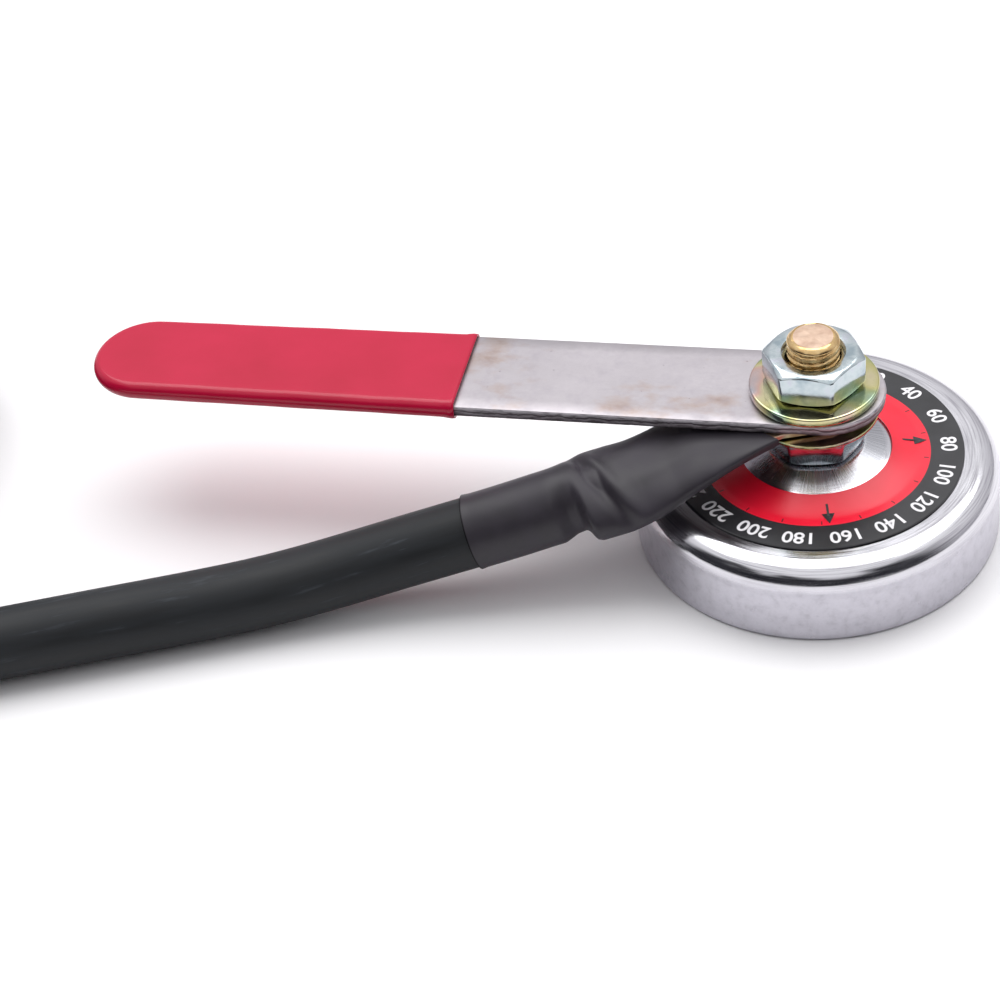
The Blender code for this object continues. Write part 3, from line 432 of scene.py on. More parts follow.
def zinc():
    """Bright blue-passivated zinc on a forged nut: cool mirror with faint forging dimples."""
    made, tree, shader = new_material("blue_passivated_zinc", Metallic=1.0)
    haze = noise(tree, 3 * MM, 3.0)
    tone = ramp(tree, haze.outputs[0], [(0.32, "#A6B5BC"), (0.55, "#C6D0D3"), (0.75, "#C6C8D4")])
    tree.links.new(tone.outputs[0], shader.inputs["Base Color"])
    rough = spread(tree, haze.outputs[0], 0.3, 0.7, 0.10, 0.20)
    tree.links.new(rough.outputs[0], shader.inputs["Roughness"])
    bumps(tree, shader, noise(tree, 1.1 * MM, 2.0).outputs[0], 0.03 * MM, 0.35)
    return made


def chromate():
    """Yellow chromate over zinc: gold that drifts to green, pink and a little blue over 8 mm,
    still bright enough to mirror the nut.
    """
    made, tree, shader = new_material("yellow_chromated_zinc", Metallic=1.0)
    drift = noise(tree, 8 * MM, 1.0)
    tone = ramp(tree, drift.outputs[0], [(0.30, "#9FB8AC"), (0.42, "#A3B084"), (0.50, "#C2BC84"),
                                         (0.58, "#CFC6A0"), (0.66, "#CFAEA2"), (0.76, "#B5B2B8")])
    tree.links.new(tone.outputs[0], shader.inputs["Base Color"])
    rough = spread(tree, noise(tree, 1.5 * MM).outputs[0], 0.3, 0.7, 0.10, 0.20)
    tree.links.new(rough.outputs[0], shader.inputs["Roughness"])
    return made


def strip_steel():
    """Cold-rolled steel strip: satin faces with faint rust stains and small dark pits, and edges
    left by the shear, burnished above a dark tear and rough below it. The attribute edge is 0 on
    the faces; on the edge it runs from 1 at the top to 2 at the bottom.
    """
    made, tree, shader = new_material("sheared_rolled_steel", Metallic=1.0)
    edge = add(tree, "Attribute", {"attribute_name": "edge"}).outputs["Fac"]
    grain = noise(tree, 0.5 * MM, 3.0, (3, 1, 1))
    stain = noise(tree, 11 * MM, 5.0, (1.6, 1, 1), 0.6)
    satin = ramp(tree, stain.outputs[0], [(0.30, "#AFAAAE"), (0.55, "#A9A4A8"), (0.64, "#A39794"),
                                          (0.74, "#8E7B73")])
    cloud = noise(tree, 4 * MM, 4.0, rough=0.65)
    uneven = mix(tree, spread(tree, cloud.outputs[0], 0.45, 0.75, 0.0, 0.55).outputs[0],
                 satin.outputs[0], "#979298")
    pits = noise(tree, 1.3 * MM, 2.0)
    pitted = mix(tree, spread(tree, pits.outputs[0], 0.72, 0.78, 0.0, 0.6).outputs[0], uneven,
                 "#5E5558")
    wander = noise(tree, 3 * MM, 3.0, (1, 1, 40))
    shift = spread(tree, wander.outputs[0], 0.3, 0.7, -0.14, 0.14).outputs[0]
    depth = add(tree, "Math", {"operation": "ADD"}, i0=edge, i1=shift)
    sheared = ramp(tree, spread(tree, depth.outputs[0], 1.0, 2.0, 0.0, 1.0).outputs[0],
                   [(0.0, "#C4BEC4"), (0.36, "#A59FA5"), (0.41, "#2C272A"), (0.53, "#6A6368"),
                    (0.62, "#ABA4AA"), (0.80, "#7E777C"), (1.0, "#3A3538")])
    flecks = noise(tree, 0.45 * MM, 3.0, (5, 5, 1)).outputs[0]
    torn = mix(tree, spread(tree, flecks, 0.48, 0.66, 0.0, 0.75).outputs[0], sheared.outputs[0],
               "#544D52")
    on_edge = spread(tree, edge, 0.5, 0.9, 0.0, 1.0).outputs[0]
    tree.links.new(mix(tree, on_edge, pitted, torn), shader.inputs["Base Color"])
    duller = spread(tree, on_edge, 0.0, 1.0, 1.0, 0.35)  # torn metal scatters like a matt surface
    tree.links.new(duller.outputs[0], shader.inputs["Metallic"])
    rough = spread(tree, cloud.outputs[0], 0.3, 0.7, 0.36, 0.50).outputs[0]
    tree.links.new(rough, shader.inputs["Roughness"])
    lines = add(tree, "Mix", {"data_type": "FLOAT"}, Factor=on_edge, A=grain.outputs[0], B=flecks)
    bumps(tree, shader, lines.outputs[0], 0.02 * MM, 0.5)
    return made


def vinyl():
    """Dipped PVC grip: saturated red under a soft gloss, with slight orange peel."""
    made, tree, shader = new_material("dipped_red_pvc", Roughness=0.21, IOR=1.52,
                                      Specular_IOR_Level=0.36)
    tone = ramp(tree, noise(tree, 14 * MM, 3.0).outputs[0], [(0.3, "#B30A33"), (0.7, "#BD103B")])
    tree.links.new(tone.outputs[0], shader.inputs["Base Color"])
    bumps(tree, shader, noise(tree, 1.6 * MM, 2.0).outputs[0], 0.025 * MM, 0.35)
    return made


def shrink_tube():
    """Recovered polyolefin heat-shrink: black, waxy satin with shallow wrinkles. A point attribute
    is 1 at the mouth's edge and all over the inside; there it gives a black painted shade for the
    shadow line at the mouth and the shaded inside, where no light comes back.
    """
    made, tree, shader = new_material("black_polyolefin_heat_shrink", IOR=1.5,
                                      Specular_IOR_Level=0.42)
    dust = noise(tree, 6 * MM, 4.0)
    tone = ramp(tree, dust.outputs[0], [(0.35, "#262229"), (0.7, "#2F2A33")])
    cut = add(tree, "Attribute", {"attribute_name": "cut"}).outputs["Fac"]
    # painted shade: black where the attribute is 1, standing in for the shadow line at the sleeve's
    # mouth and the shaded inside
    tree.links.new(mix(tree, cut, tone.outputs[0], "#000000"), shader.inputs["Base Color"])
    tree.links.new(cut, shader.inputs["Metallic"])  # a black metal gives back nothing
    rough = spread(tree, dust.outputs[0], 0.3, 0.7, 0.42, 0.55)
    tree.links.new(rough.outputs[0], shader.inputs["Roughness"])
    bumps(tree, shader, noise(tree, 3.5 * MM, 3.0).outputs[0], 0.10 * MM, 0.35)
    return made


def sheath():
    """Extruded rubber cable sheath: black with pale scuffs that run along it (UV in metres)."""
    made, tree, shader = new_material("extruded_black_rubber", IOR=1.5, Specular_IOR_Level=0.34)
    place = add(tree, "TexCoord").outputs["UV"]
    scuffs = noise(tree, 2.2 * MM, 4.0, (9, 1, 1), 0.62, place)
    talc = noise(tree, 24 * MM, 3.0)
    tone = ramp(tree, scuffs.outputs[0], [(0.40, "#16181B"), (0.60, "#1D2024"), (0.76, "#41464C")])
    shade = mix(tree, spread(tree, talc.outputs[0], 0.4, 0.75, 0.0, 0.35).outputs[0],
                tone.outputs[0], "#26282B")
    tree.links.new(shade, shader.inputs["Base Color"])
    rough = spread(tree, scuffs.outputs[0], 0.35, 0.7, 0.50, 0.66)
    tree.links.new(rough.outputs[0], shader.inputs["Roughness"])
    bumps(tree, shader, scuffs.outputs[0], 0.03 * MM, 0.4)
    return made


def moulded(name, colour, worn, roughness, grain):
    """A moulded, cast or sintered dark material with grain of the given size."""
    made, tree, shader = new_material(name, Roughness=roughness, IOR=1.5)
    spots = noise(tree, grain, 4.0, rough=0.6)
    tone = ramp(tree, spots.outputs[0], [(0.35, colour), (0.72, worn)])
    tree.links.new(tone.outputs[0], shader.inputs["Base Color"])
    bumps(tree, shader, spots.outputs[0], 0.05 * MM, 0.4)
    return made


def webbing():
    """Woven hook-and-loop strap: black yarn 1.2 mm apart, crossing at right angles."""
    made, tree, shader = new_material("woven_nylon_webbing", Roughness=0.85)
    place = add(tree, "TexCoord").outputs["UV"]
    yarn = add(tree, "Mapping", {"Scale": (1 / (1.2 * MM), 1 / (1.2 * MM), 1)}, Vector=place)
    weave = add(tree, "TexChecker", {"Scale": 1.0}, Vector=yarn)
    fuzz = noise(tree, 0.6 * MM, 3.0)
    tone = ramp(tree, fuzz.outputs[0], [(0.3, "#202024"), (0.7, "#36363C")])
    tree.links.new(tone.outputs[0], shader.inputs["Base Color"])
    bumps(tree, shader, weave.outputs["Fac"], 0.15 * MM, 0.7)
    return made


def metal(name, bright, dull, roughness, size):
    """A plain metal with drifting tone."""
    made, tree, shader = new_material(name, Metallic=1.0, Roughness=roughness)
    tone = ramp(tree, noise(tree, size, 4.0).outputs[0], [(0.35, bright), (0.7, dull)])
    tree.links.new(tone.outputs[0], shader.inputs["Base Color"])
    bumps(tree, shader, noise(tree, size / 3, 2.0).outputs[0], 0.02 * MM, 0.4)
    return made


MATERIALS = {
    "cup": plated_steel(),
    "film": printed_film(),
    "white_ink": print_ink("white_screen_ink", "#E9E7EA"),
    "black_ink": print_ink("black_screen_ink", "#1C1A1D"),
    "stud": brass("turned_brass", "#DDBF8C", "#C49E68", 0.17),
    "stud_top": brass("sawn_brass", "#C8B09D", "#B59B89", 0.46),
    "plug_brass": brass("turned_plug_brass", "#D6A85C", "#B98A45", 0.2),
    "zinc": zinc(),
    "chromate": chromate(),
    "strip": strip_steel(),
    "vinyl": vinyl(),
    "shrink": shrink_tube(),
    "sheath": sheath(),
    "boot": moulded("moulded_black_rubber", "#1D1D1F", "#2B2B2E", 0.62, 1.5 * MM),
    "ferrite": moulded("sintered_ferrite", "#2A2A2D", "#3C3C40", 0.55, 0.8 * MM),
    "epoxy": moulded("cast_black_epoxy", "#141415", "#202022", 0.18, 6 * MM),
    "webbing": webbing(),
    "tin": metal("tinned_copper", "#E2D2BE", "#C79E7B", 0.3, 2 * MM),
    "copper": metal("bare_copper_strand", "#C9764A", "#9A5332", 0.35, 0.6 * MM),
    "screw": metal("black_oxide_steel", "#4A4A4E", "#35353A", 0.4, 1 * MM),
}


def dress(piece, finish, body, slot, *nodes):
    """Gives a piece its material, its body and the nodes it stands for; slot is not used."""
    piece.data.materials.clear()
    piece.data.materials.append(MATERIALS[finish])
    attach(piece, body)
    if nodes:
        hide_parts(*nodes)
    return piece


# Camera

def place_camera():
    """The camera stands in front of the clamp, above it and a little to its right."""
    data = bpy.data.cameras.new("camera")
    data.lens = 93.563
    data.sensor_width = 36.0
    data.clip_start = 0.02
    camera = bpy.data.objects.new("camera", data)
    camera.location = (0.05147, -0.37771, 0.33595)
    camera.rotation_euler = (0.859463, 0.096484, 0.212401)
    bpy.context.scene.collection.objects.link(camera)
    bpy.context.scene.camera = camera


place_camera()
bpy.context.scene.view_settings.view_transform = "Standard"


# Lead

def coil_line():
    """The coil's turns from the point where the cable reaches it, clockwise seen from above.
    Radius = mean + pitch * lane and height = low + pitch * layer. The cable winds inwards on the
    floor, climbs at the inner turn and winds outwards on top; the lane and the layer change in
    smooth steps over short sectors that clear the turns beside them.
    """
    swept = np.linspace(0, COIL_SWEEP, 348)
    lane = (1 - ease((swept - 280) / 110) - ease((swept - 640) / 110)
            + ease((swept - 1260) / 110) + ease((swept - 1620) / 110))
    layer = ease((swept - 930) / 120)
    angle = np.radians(COIL_ENTRY - swept)
    radius = COIL_RADIUS + COIL_PITCH * lane
    return np.stack([COIL_CENTRE[0] + radius * np.cos(angle),
                     COIL_CENTRE[1] + radius * np.sin(angle),
                     COIL_LOW + COIL_PITCH * layer], axis=1)


def make_lead():
    """The cable as one tube: out of the sleeve, down to the floor, round the coil, to the plug."""
    route = smooth_line(LEAD_ROUTE, 0.002)
    step = 0.004
    run = at_distance(route, np.arange(CABLE_START, line_distance(route)[-1] - step, step))
    coil = coil_line()
    tail = smooth_line(np.concatenate([coil[-2:], round_the_coil(TAIL_ROUTE)]), 0.005)[3:]
    line = np.concatenate([run, coil, tail])
    count = 40
    grid = tube_grid(line, CABLE_RADIUS, count)
    first, last = np.tile(line[:1], (count, 1))[None], np.tile(line[-1:], (count, 1))[None]
    grid = np.concatenate([first, grid, last])
    along = line_distance(line)
    u = np.concatenate([[along[0]], along, [along[-1]]])
    v = np.linspace(0, 2 * np.pi * CABLE_RADIUS, count + 1)
    cable = grid_piece("welding_cable", grid, False, True, (u, v), 50)
    dress(cable, "sheath", "lead", "cable_rubber", "cable_run", "cable_coil", "cable_tail")
    return cable, line, at_distance(route, [SLEEVE_MOUTH])[0]


def coil_tie(number, degrees):
    """A strap round the bundle: a rounded rectangle in the radial plane, carried across its width
    with bulged faces. Its end is doubled over for 30 mm on the outer side.
    """
    half_x, half_y, corner = 0.02135, 0.01415, 0.0062
    count = 96
    angle = 2 * np.pi * np.arange(count) / count
    flat = 0.001  # a power this small keeps the corners' centres at the rectangle's corners
    corner_x = np.sign(np.cos(angle)) * np.abs(np.cos(angle))**flat
    corner_y = np.sign(np.sin(angle)) * np.abs(np.sin(angle))**flat
    loop = np.stack([corner_x * (half_x - corner) + corner * np.cos(angle),
                     corner_y * (half_y - corner) + corner * np.sin(angle)], axis=1)
    normal = np.stack([np.cos(angle), np.sin(angle)], axis=1)
    across = np.array([-7.0, -7.0, -6.7, 0.0, 6.7, 7.0, 7.0, 6.7, 0.0, -6.7]) * MM
    lift = np.array([0.0, 0.75, 1.0, 1.05, 1.0, 0.75, 0.0, 0.0, 0.0, 0.0]) * MM * 0.95
    doubled = 1 + 0.9 * ease((angle - 5.3) / 0.1) * ease((6.25 - angle) / 0.1)
    ring = loop[:, None] + normal[:, None] * (lift[None] * doubled[:, None])[..., None]
    turn = math.radians(degrees)
    outward = np.array([math.cos(turn), math.sin(turn), 0])
    sideways = np.array([-math.sin(turn), math.cos(turn), 0])
    centre = np.array([*COIL_CENTRE, TIE_CENTRE_HEIGHT]) + COIL_RADIUS * outward
    grid = (centre + ring[..., :1] * outward + ring[..., 1:] * np.array([0, 0, 1.0])
            + across[None, :, None] * sideways)
    girth = np.concatenate([line_distance(np.c_[loop, np.zeros(count)]), [0.136]])
    v = np.concatenate([line_distance(np.c_[across, lift, lift * 0]), [0.029]])
    tie = grid_piece(f"coil_strap_{number}", grid, True, True, (girth, v), 40)
    return dress(tie, "webbing", "lead", "tie_strap", f"coil_tie_{number}")


def make_plug():
    """Rubber boot with finger ribs, and the brass body with its collar, pin and bayonet key."""
    ribs = [(0.0132 - drop, z + rise) for z in np.arange(0.018, 0.046, 0.004)
            for drop, rise in ((0.0, 0.0), (0.0006, 0.0012))]
    outer = [(0.0072, 0.0, 0.0), (0.0092, 0.0, 0.0006), (0.0101, 0.0060, 0.001)]
    outer += [(min(r, 0.0101 + (z - 0.006) * 0.13), z, 0.0004) for r, z in ribs]
    outer += [(0.0132, 0.0490, 0.0005), (0.0132, 0.0578, 0.0010), (0.0102, 0.0578, 0.0005),
              (0.0102, 0.0443, 0.0), (0.0086, 0.0443, 0.0), (0.0086, 0.0140, 0.0),
              (0.0071, 0.0140, 0.0)]
    boot = dress(turned("plug_boot_rubber", rounded(outer, 4), 96, along_plug), "boot", "lead",
                 "boot_rubber", "plug_boot")
    body = [(0.0, 0.0693, 0.0), (0.0045, 0.0693, 0.0008), (0.0045, 0.0483, 0.0003),
            (0.0098, 0.0483, 0.0004), (0.0098, 0.0443, 0.0003), (0.0083, 0.0443, 0.0),
            (0.0083, 0.0143, 0.0), (0.0043, 0.0143, 0.0), (0.0043, 0.0353, 0.0),
            (0.0, 0.0353, 0.0)]
    pin = turned("plug_brass_body", rounded(body, 6), 96, along_plug, closed=False)
    dress(pin, "plug_brass", "lead", "plug_brass", "plug_body")
    return [boot, pin, bayonet_key()]


def bayonet_key():
    """The key on the pin: a superellipsoid block, |x/a|^6 + |y/b|^6 + |z/c|^6 = 1."""
    half = np.array([0.0015, 0.0020, 0.0021])
    u = np.linspace(-np.pi / 2, np.pi / 2, 25)
    v = np.linspace(0, 2 * np.pi, 48, endpoint=False)
    power = 2 / 6

    def signed(values):
        return np.sign(values) * np.abs(values)**power

    grid = np.stack([half[0] * np.outer(signed(np.cos(u)), signed(np.cos(v))),
                     half[1] * np.outer(signed(np.cos(u)), signed(np.sin(v))),
                     half[2] * np.outer(signed(np.sin(u)), np.ones(48))], axis=2)
    grid += np.array([PLUG_X, PLUG_Y + 0.0633, PLUG_Z + 0.0044])
    key = grid_piece("plug_bayonet_key", round_the_coil(grid), False, True)
    return dress(key, "plug_brass", "lead", "plug_brass")


cable, cable_line, cable_exit = make_lead()
ties = [coil_tie(number, degrees) for number, degrees in enumerate((20, 105, 228), 1)]
plug = make_plug()


# Heat-shrink sleeve

# distance along the lead, half width in front and at the back, half height, power, roll in degrees
SLEEVE_SECTIONS = np.array([
    (0.0133, 0.0082, 0.0078, 0.00095, 8.0, 0), (0.0180, 0.0091, 0.0080, 0.00140, 4.0, 1),
    (0.0240, 0.0097, 0.0083, 0.00200, 3.0, 4), (0.0300, 0.0096, 0.0085, 0.00280, 2.5, 9),
    (0.0360, 0.0100, 0.0085, 0.00390, 2.2, 14), (0.0405, 0.0104, 0.0087, 0.00520, 2.0, 15),
    (0.0440, 0.0105, 0.0088, 0.00580, 2.0, 12), (0.0455, 0.0105, 0.0087, 0.00615, 2.0, 10),
    (0.0466, 0.0099, 0.0085, 0.00640, 2.0, 7), (0.0475, 0.0075, 0.0083, 0.00660, 2.0, 4),
    (0.0484, 0.0058, 0.0080, 0.00670, 2.0, 2), (0.0503, 0.0056, 0.0075, 0.00690, 2.0, 0),
    (0.0517, 0.0064, 0.0072, 0.00710, 2.0, 0), (0.0528, 0.00715, 0.00715, 0.00715, 2.0, 0),
    (SLEEVE_MOUTH, 0.00715, 0.00715, 0.00715, 2.0, 0),
])


def make_sleeve():
    """Rings across the lead: superellipses |x/a|^n + |y/b|^n = 1 with sizes from the table,
    smoothed along the lead and rolled to the front, dented by a crease and soft folds, and with a
    thin wall. The first rings are drawn back to an arc round the stud.
    """
    route = smooth_line(LEAD_ROUTE, 0.0005)
    places = np.linspace(SLEEVE_START, SLEEVE_MOUTH, 170)
    fine = np.linspace(SLEEVE_START - 0.003, SLEEVE_MOUTH + 0.003, 1200)
    kernel = np.hanning(24)
    kernel /= kernel.sum()
    sizes = []
    for column in range(1, 6):
        values = np.interp(fine, SLEEVE_SECTIONS[:, 0], SLEEVE_SECTIONS[:, column])
        padded = np.pad(values, 12, mode="edge")
        smooth = np.convolve(padded, kernel, mode="same")[12:-12]
        sizes.append(np.interp(places, fine, smooth)[:, None])
    front_half, back_half, half_height, power, roll = sizes
    count = 96
    angle = (2 * np.pi * (np.arange(count) + 0.5) / count)[None]
    s = places[:, None]
    # the crease runs across the top, from 46.5 mm along the lead at the back to 38.5 mm in front
    slant = 0.0425 - 0.0040 * np.cos(angle)
    above = ease(np.sin(angle) * 1.6 + 0.4) * ease((np.cos(angle) + 0.9) / 0.5)
    dent = -0.00085 * bump(s, slant + 0.0018, 0.0013) * above
    dent += 0.00045 * bump(s, slant - 0.0008, 0.0015) * above
    fold = bump(np.cos(angle), 0.15 + (s - 0.03) * 12, 0.16) * bump(s, 0.030, 0.010)
    waves = np.sin(3 * angle + s * 420) * ease((s - 0.018) / 0.01) * ease((0.056 - s) / 0.006)
    lip = bump(s, SLEEVE_MOUTH, 0.0010)
    dent += 0.00022 * fold * above + 0.00012 * waves + 0.00012 * lip

    def surface(inset):
        """The rings' points at a depth below the outer surface."""
        half_width = np.where(np.cos(angle) > 0, front_half, back_half)
        bend = 2 / power
        across = (half_width - inset + dent) * np.sign(np.cos(angle)) * np.abs(np.cos(angle))**bend
        upward = (half_height - inset + dent) * np.sign(np.sin(angle)) * np.abs(np.sin(angle))**bend
        turn = np.radians(roll)
        side = across * np.cos(turn) + upward * np.sin(turn)
        rise = upward * np.cos(turn) - across * np.sin(turn)
        over_lug = np.maximum(1, (LUG_BARREL_CLEARANCE - inset) / np.hypot(side, rise))
        over_lug = 1 + (over_lug - 1) * ease((s - 0.0425) / 0.001)
        side, rise = side * over_lug, rise * over_lug
        pulled = np.clip(1 - (s - SLEEVE_START) / 0.010, 0, 1)
        pulled = pulled * (np.sqrt(SLEEVE_START**2 - across**2) - SLEEVE_START)
        centre = at_distance(route, places)
        ahead, front, up = line_frames(centre)
        return (centre[:, None] + side[..., None] * front[:, None] + rise[..., None] * up[:, None]
                + pulled[..., None] * ahead[:, None])

    outer, inner = surface(0.0), surface(SLEEVE_WALL)
    grid = np.concatenate([outer, inner[::-1]])
    # painted shade: the outside at the mouth's edge and the whole inside are marked to be painted
    # black, standing in for the shadow line at the mouth and the shaded inside
    cut = np.concatenate([places > SLEEVE_MOUTH - 0.0002, np.ones(len(places))])
    cut_edge = np.tile(cut[:, None], (1, count))
    sleeve = grid_piece("heat_shrink_cover", grid, True, True, None, 60, ("cut", cut_edge))
    return dress(sleeve, "shrink", "lead", "shrink_sleeve", "heat_shrink_sleeve")


make_sleeve()


# Pot magnet

def boss_height(radius):
    """The face's height: flat, then a rise to the boss as a power of the distance inwards."""
    share = np.clip((BOSS_FOOT_RADIUS - radius) / (BOSS_FOOT_RADIUS - BOSS_TOP_RADIUS), 0, 1)
    return CUP_FACE + (BOSS_TOP - CUP_FACE) * share**1.35


def quarter(centre_r, centre_z, radius, start, end, steps):
    """An arc of a profile, angles in degrees."""
    angle = np.radians(np.linspace(start, end, steps))
    return np.stack([centre_r + radius * np.cos(angle), centre_z + radius * np.sin(angle)], axis=1)


def make_cup():
    """Turned cup: boss, face, shoulder, wall with a trace of taper, rolled rim and the inside."""
    climb = np.linspace(BOSS_TOP_RADIUS, BOSS_FOOT_RADIUS + 0.002, 40)
    shoulder_r, shoulder_z = CUP_RADIUS - CUP_SHOULDER, CUP_FACE - CUP_SHOULDER
    inside_r = CUP_RADIUS - CUP_WALL
    under = np.linspace(BOSS_FOOT_RADIUS, BOSS_TOP_RADIUS, 12)
    wall_z = np.linspace(shoulder_z, 0.0006, 14)[1:-1]
    lip = 0.00012 * bump(wall_z, 0.0011, 0.0007)  # the drawn edge flares a little
    profile = np.concatenate([
        quarter(NUT_BORE_RADIUS + 0.0003, BOSS_TOP - 0.0003, 0.0003, 180, 90, 5),
        [(BOSS_TOP_RADIUS - 0.0006, BOSS_TOP)],
        np.stack([climb, boss_height(climb)], axis=1),
        quarter(shoulder_r, shoulder_z, CUP_SHOULDER, 90, 0, 28),
        np.stack([CUP_RADIUS - 0.00012 + lip, wall_z], axis=1),
        quarter(CUP_RADIUS - 0.0005, 0.0005, 0.0005, 0, -90, 6),
        quarter(inside_r + 0.0003, 0.0003, 0.0003, 270, 180, 4),
        quarter(shoulder_r, shoulder_z, CUP_SHOULDER - CUP_WALL, 0, 90, 8),
        np.stack([under, boss_height(under) - CUP_WALL], axis=1),
        [(NUT_BORE_RADIUS, BOSS_TOP - CUP_WALL)],
    ])
    cup = turned("magnet_cup_shell", profile, 256)
    return dress(cup, "cup", "magnet_base", "plated_cup", "magnet_cup")


def make_label():
    """The printed ring, its upper face 0.4 mm above the cup's, and what is printed on it."""
    r = np.linspace(LABEL_INNER, LABEL_OUTER - 0.00015, 40)
    top = np.stack([r, boss_height(r) + 0.0004], axis=1)
    edge = np.array([(LABEL_OUTER, LABEL_TOP - 0.0001), (LABEL_OUTER, CUP_FACE + 0.0001)])
    under = np.stack([r[::-1], boss_height(r[::-1]) + 0.0001], axis=1)
    label = turned("printed_ring", np.concatenate([top, edge, under]), 256)
    dress(label, "film", "magnet_base", "label_film", "face_label")
    make_numbers()
    make_pointers()


def make_numbers():
    """A plain scale of degrees: numbers every 20 degrees with their tops to the rim."""
    curve = bpy.data.curves.new("number", "FONT")
    curve.size = 0.0042
    curve.offset = 0.00007
    curve.extrude = 0.00001
    curve.align_x = "CENTER"
    curve.align_y = "CENTER"
    writer = bpy.data.objects.new("number", curve)
    bpy.context.scene.collection.objects.link(writer)
    points, faces, used = [], [], 0
    for degrees in range(0, 360, 20):
        curve.body = str(degrees)
        bpy.context.view_layer.update()
        depsgraph = bpy.context.evaluated_depsgraph_get()
        mesh = bpy.data.meshes.new_from_object(writer.evaluated_get(depsgraph))
        flat = np.empty(len(mesh.vertices) * 3)
        mesh.vertices.foreach_get("co", flat)
        flat = flat.reshape(-1, 3)
        radius = NUMBER_RADIUS + flat[:, 1]
        angle = math.radians(90 - degrees) - flat[:, 0] / NUMBER_RADIUS  # bent round the ring
        points.append(np.stack([radius * np.cos(angle), radius * np.sin(angle),
                                LABEL_TOP + 0.00002 + flat[:, 2]], axis=1))
        faces += [[v + used for v in face.vertices] for face in mesh.polygons]
        used += len(flat)
    bpy.data.objects.remove(writer, do_unlink=True)
    mesh = bpy.data.meshes.new("label_numbers")
    mesh.from_pydata(np.concatenate(points), [], faces)
    numbers = finished_mesh("label_numbers", mesh, 30)
    return dress(numbers, "white_ink", "magnet_base", "label_film")


def make_pointers():
    """Dark pointers and ticks on the red ring: thin wedges between two radii and two angles."""
    points, faces = [], []

    def wedge(angle, inner, outer, inner_half, outer_half):
        """Four corners at two radii and half widths, as a slab 0.02 mm thick."""
        corners = np.array([(inner, -inner_half), (inner, inner_half), (outer, outer_half),
                            (outer, -outer_half)])
        c, s = math.cos(angle), math.sin(angle)
        flat = np.stack([corners[:, 0] * c - corners[:, 1] * s,
                         corners[:, 0] * s + corners[:, 1] * c], axis=1)
        first = 8 * len(points)
        low = boss_height(corners[:, :1]) + 0.00041
        points.append(np.concatenate([np.c_[flat, low], np.c_[flat, low + 0.00002]]))
        quads = [(3, 2, 1, 0), (4, 5, 6, 7), (0, 1, 5, 4), (1, 2, 6, 5), (2, 3, 7, 6), (3, 0, 4, 7)]
        faces.extend([[first + k for k in quad] for quad in quads])

    for degrees in range(0, 360, 20):
        wedge(math.radians(degrees), 0.0204, 0.0213, 0.00010, 0.00010)
    for degrees in (14, 104, 194, 284):
        wedge(math.radians(degrees), 0.0165, 0.0200, 0.00022, 0.00022)
        wedge(math.radians(degrees), 0.0186, 0.0211, 0.00120, 0.00002)
    mesh = bpy.data.meshes.new("label_pointers")
    mesh.from_pydata(np.concatenate(points), [], faces)
    pointers = finished_mesh("label_pointers", mesh, 30)
    return dress(pointers, "black_ink", "magnet_base", "label_film")


def make_underside():
    """Ferrite ring, potting with a sunk meniscus, and the bush."""
    ferrite = [(0.0132, 0.0132, 0.0003), (0.0300, 0.0132, 0.0003), (0.0300, 0.0012, 0.0006),
               (0.0132, 0.0012, 0.0006)]
    dress(turned("ferrite_magnet", rounded(ferrite, 5), 160), "ferrite", "magnet_base", "ferrite",
          "ferrite_ring")
    r = np.linspace(0.0303, 0.0324, 14)
    sunk = 0.0008 + 0.0004 * np.sin(np.pi * (r - 0.0303) / 0.0021)
    profile = np.concatenate([[(0.0324, 0.0112), (0.0303, 0.0112)], np.stack([r, sunk], axis=1)])
    dress(turned("potting_resin", profile, 160), "epoxy", "magnet_base", "potting_resin",
          "potting_ring")
    bush = [(0.0113, 0.0132, 0.0), (0.0129, 0.0132, 0.0), (0.0129, 0.0007, 0.0003),
            (0.0113, 0.0007, 0.0003)]
    dress(turned("potting_bush", rounded(bush, 5), 160), "epoxy", "magnet_base", "potting_resin",
          "centre_bush")


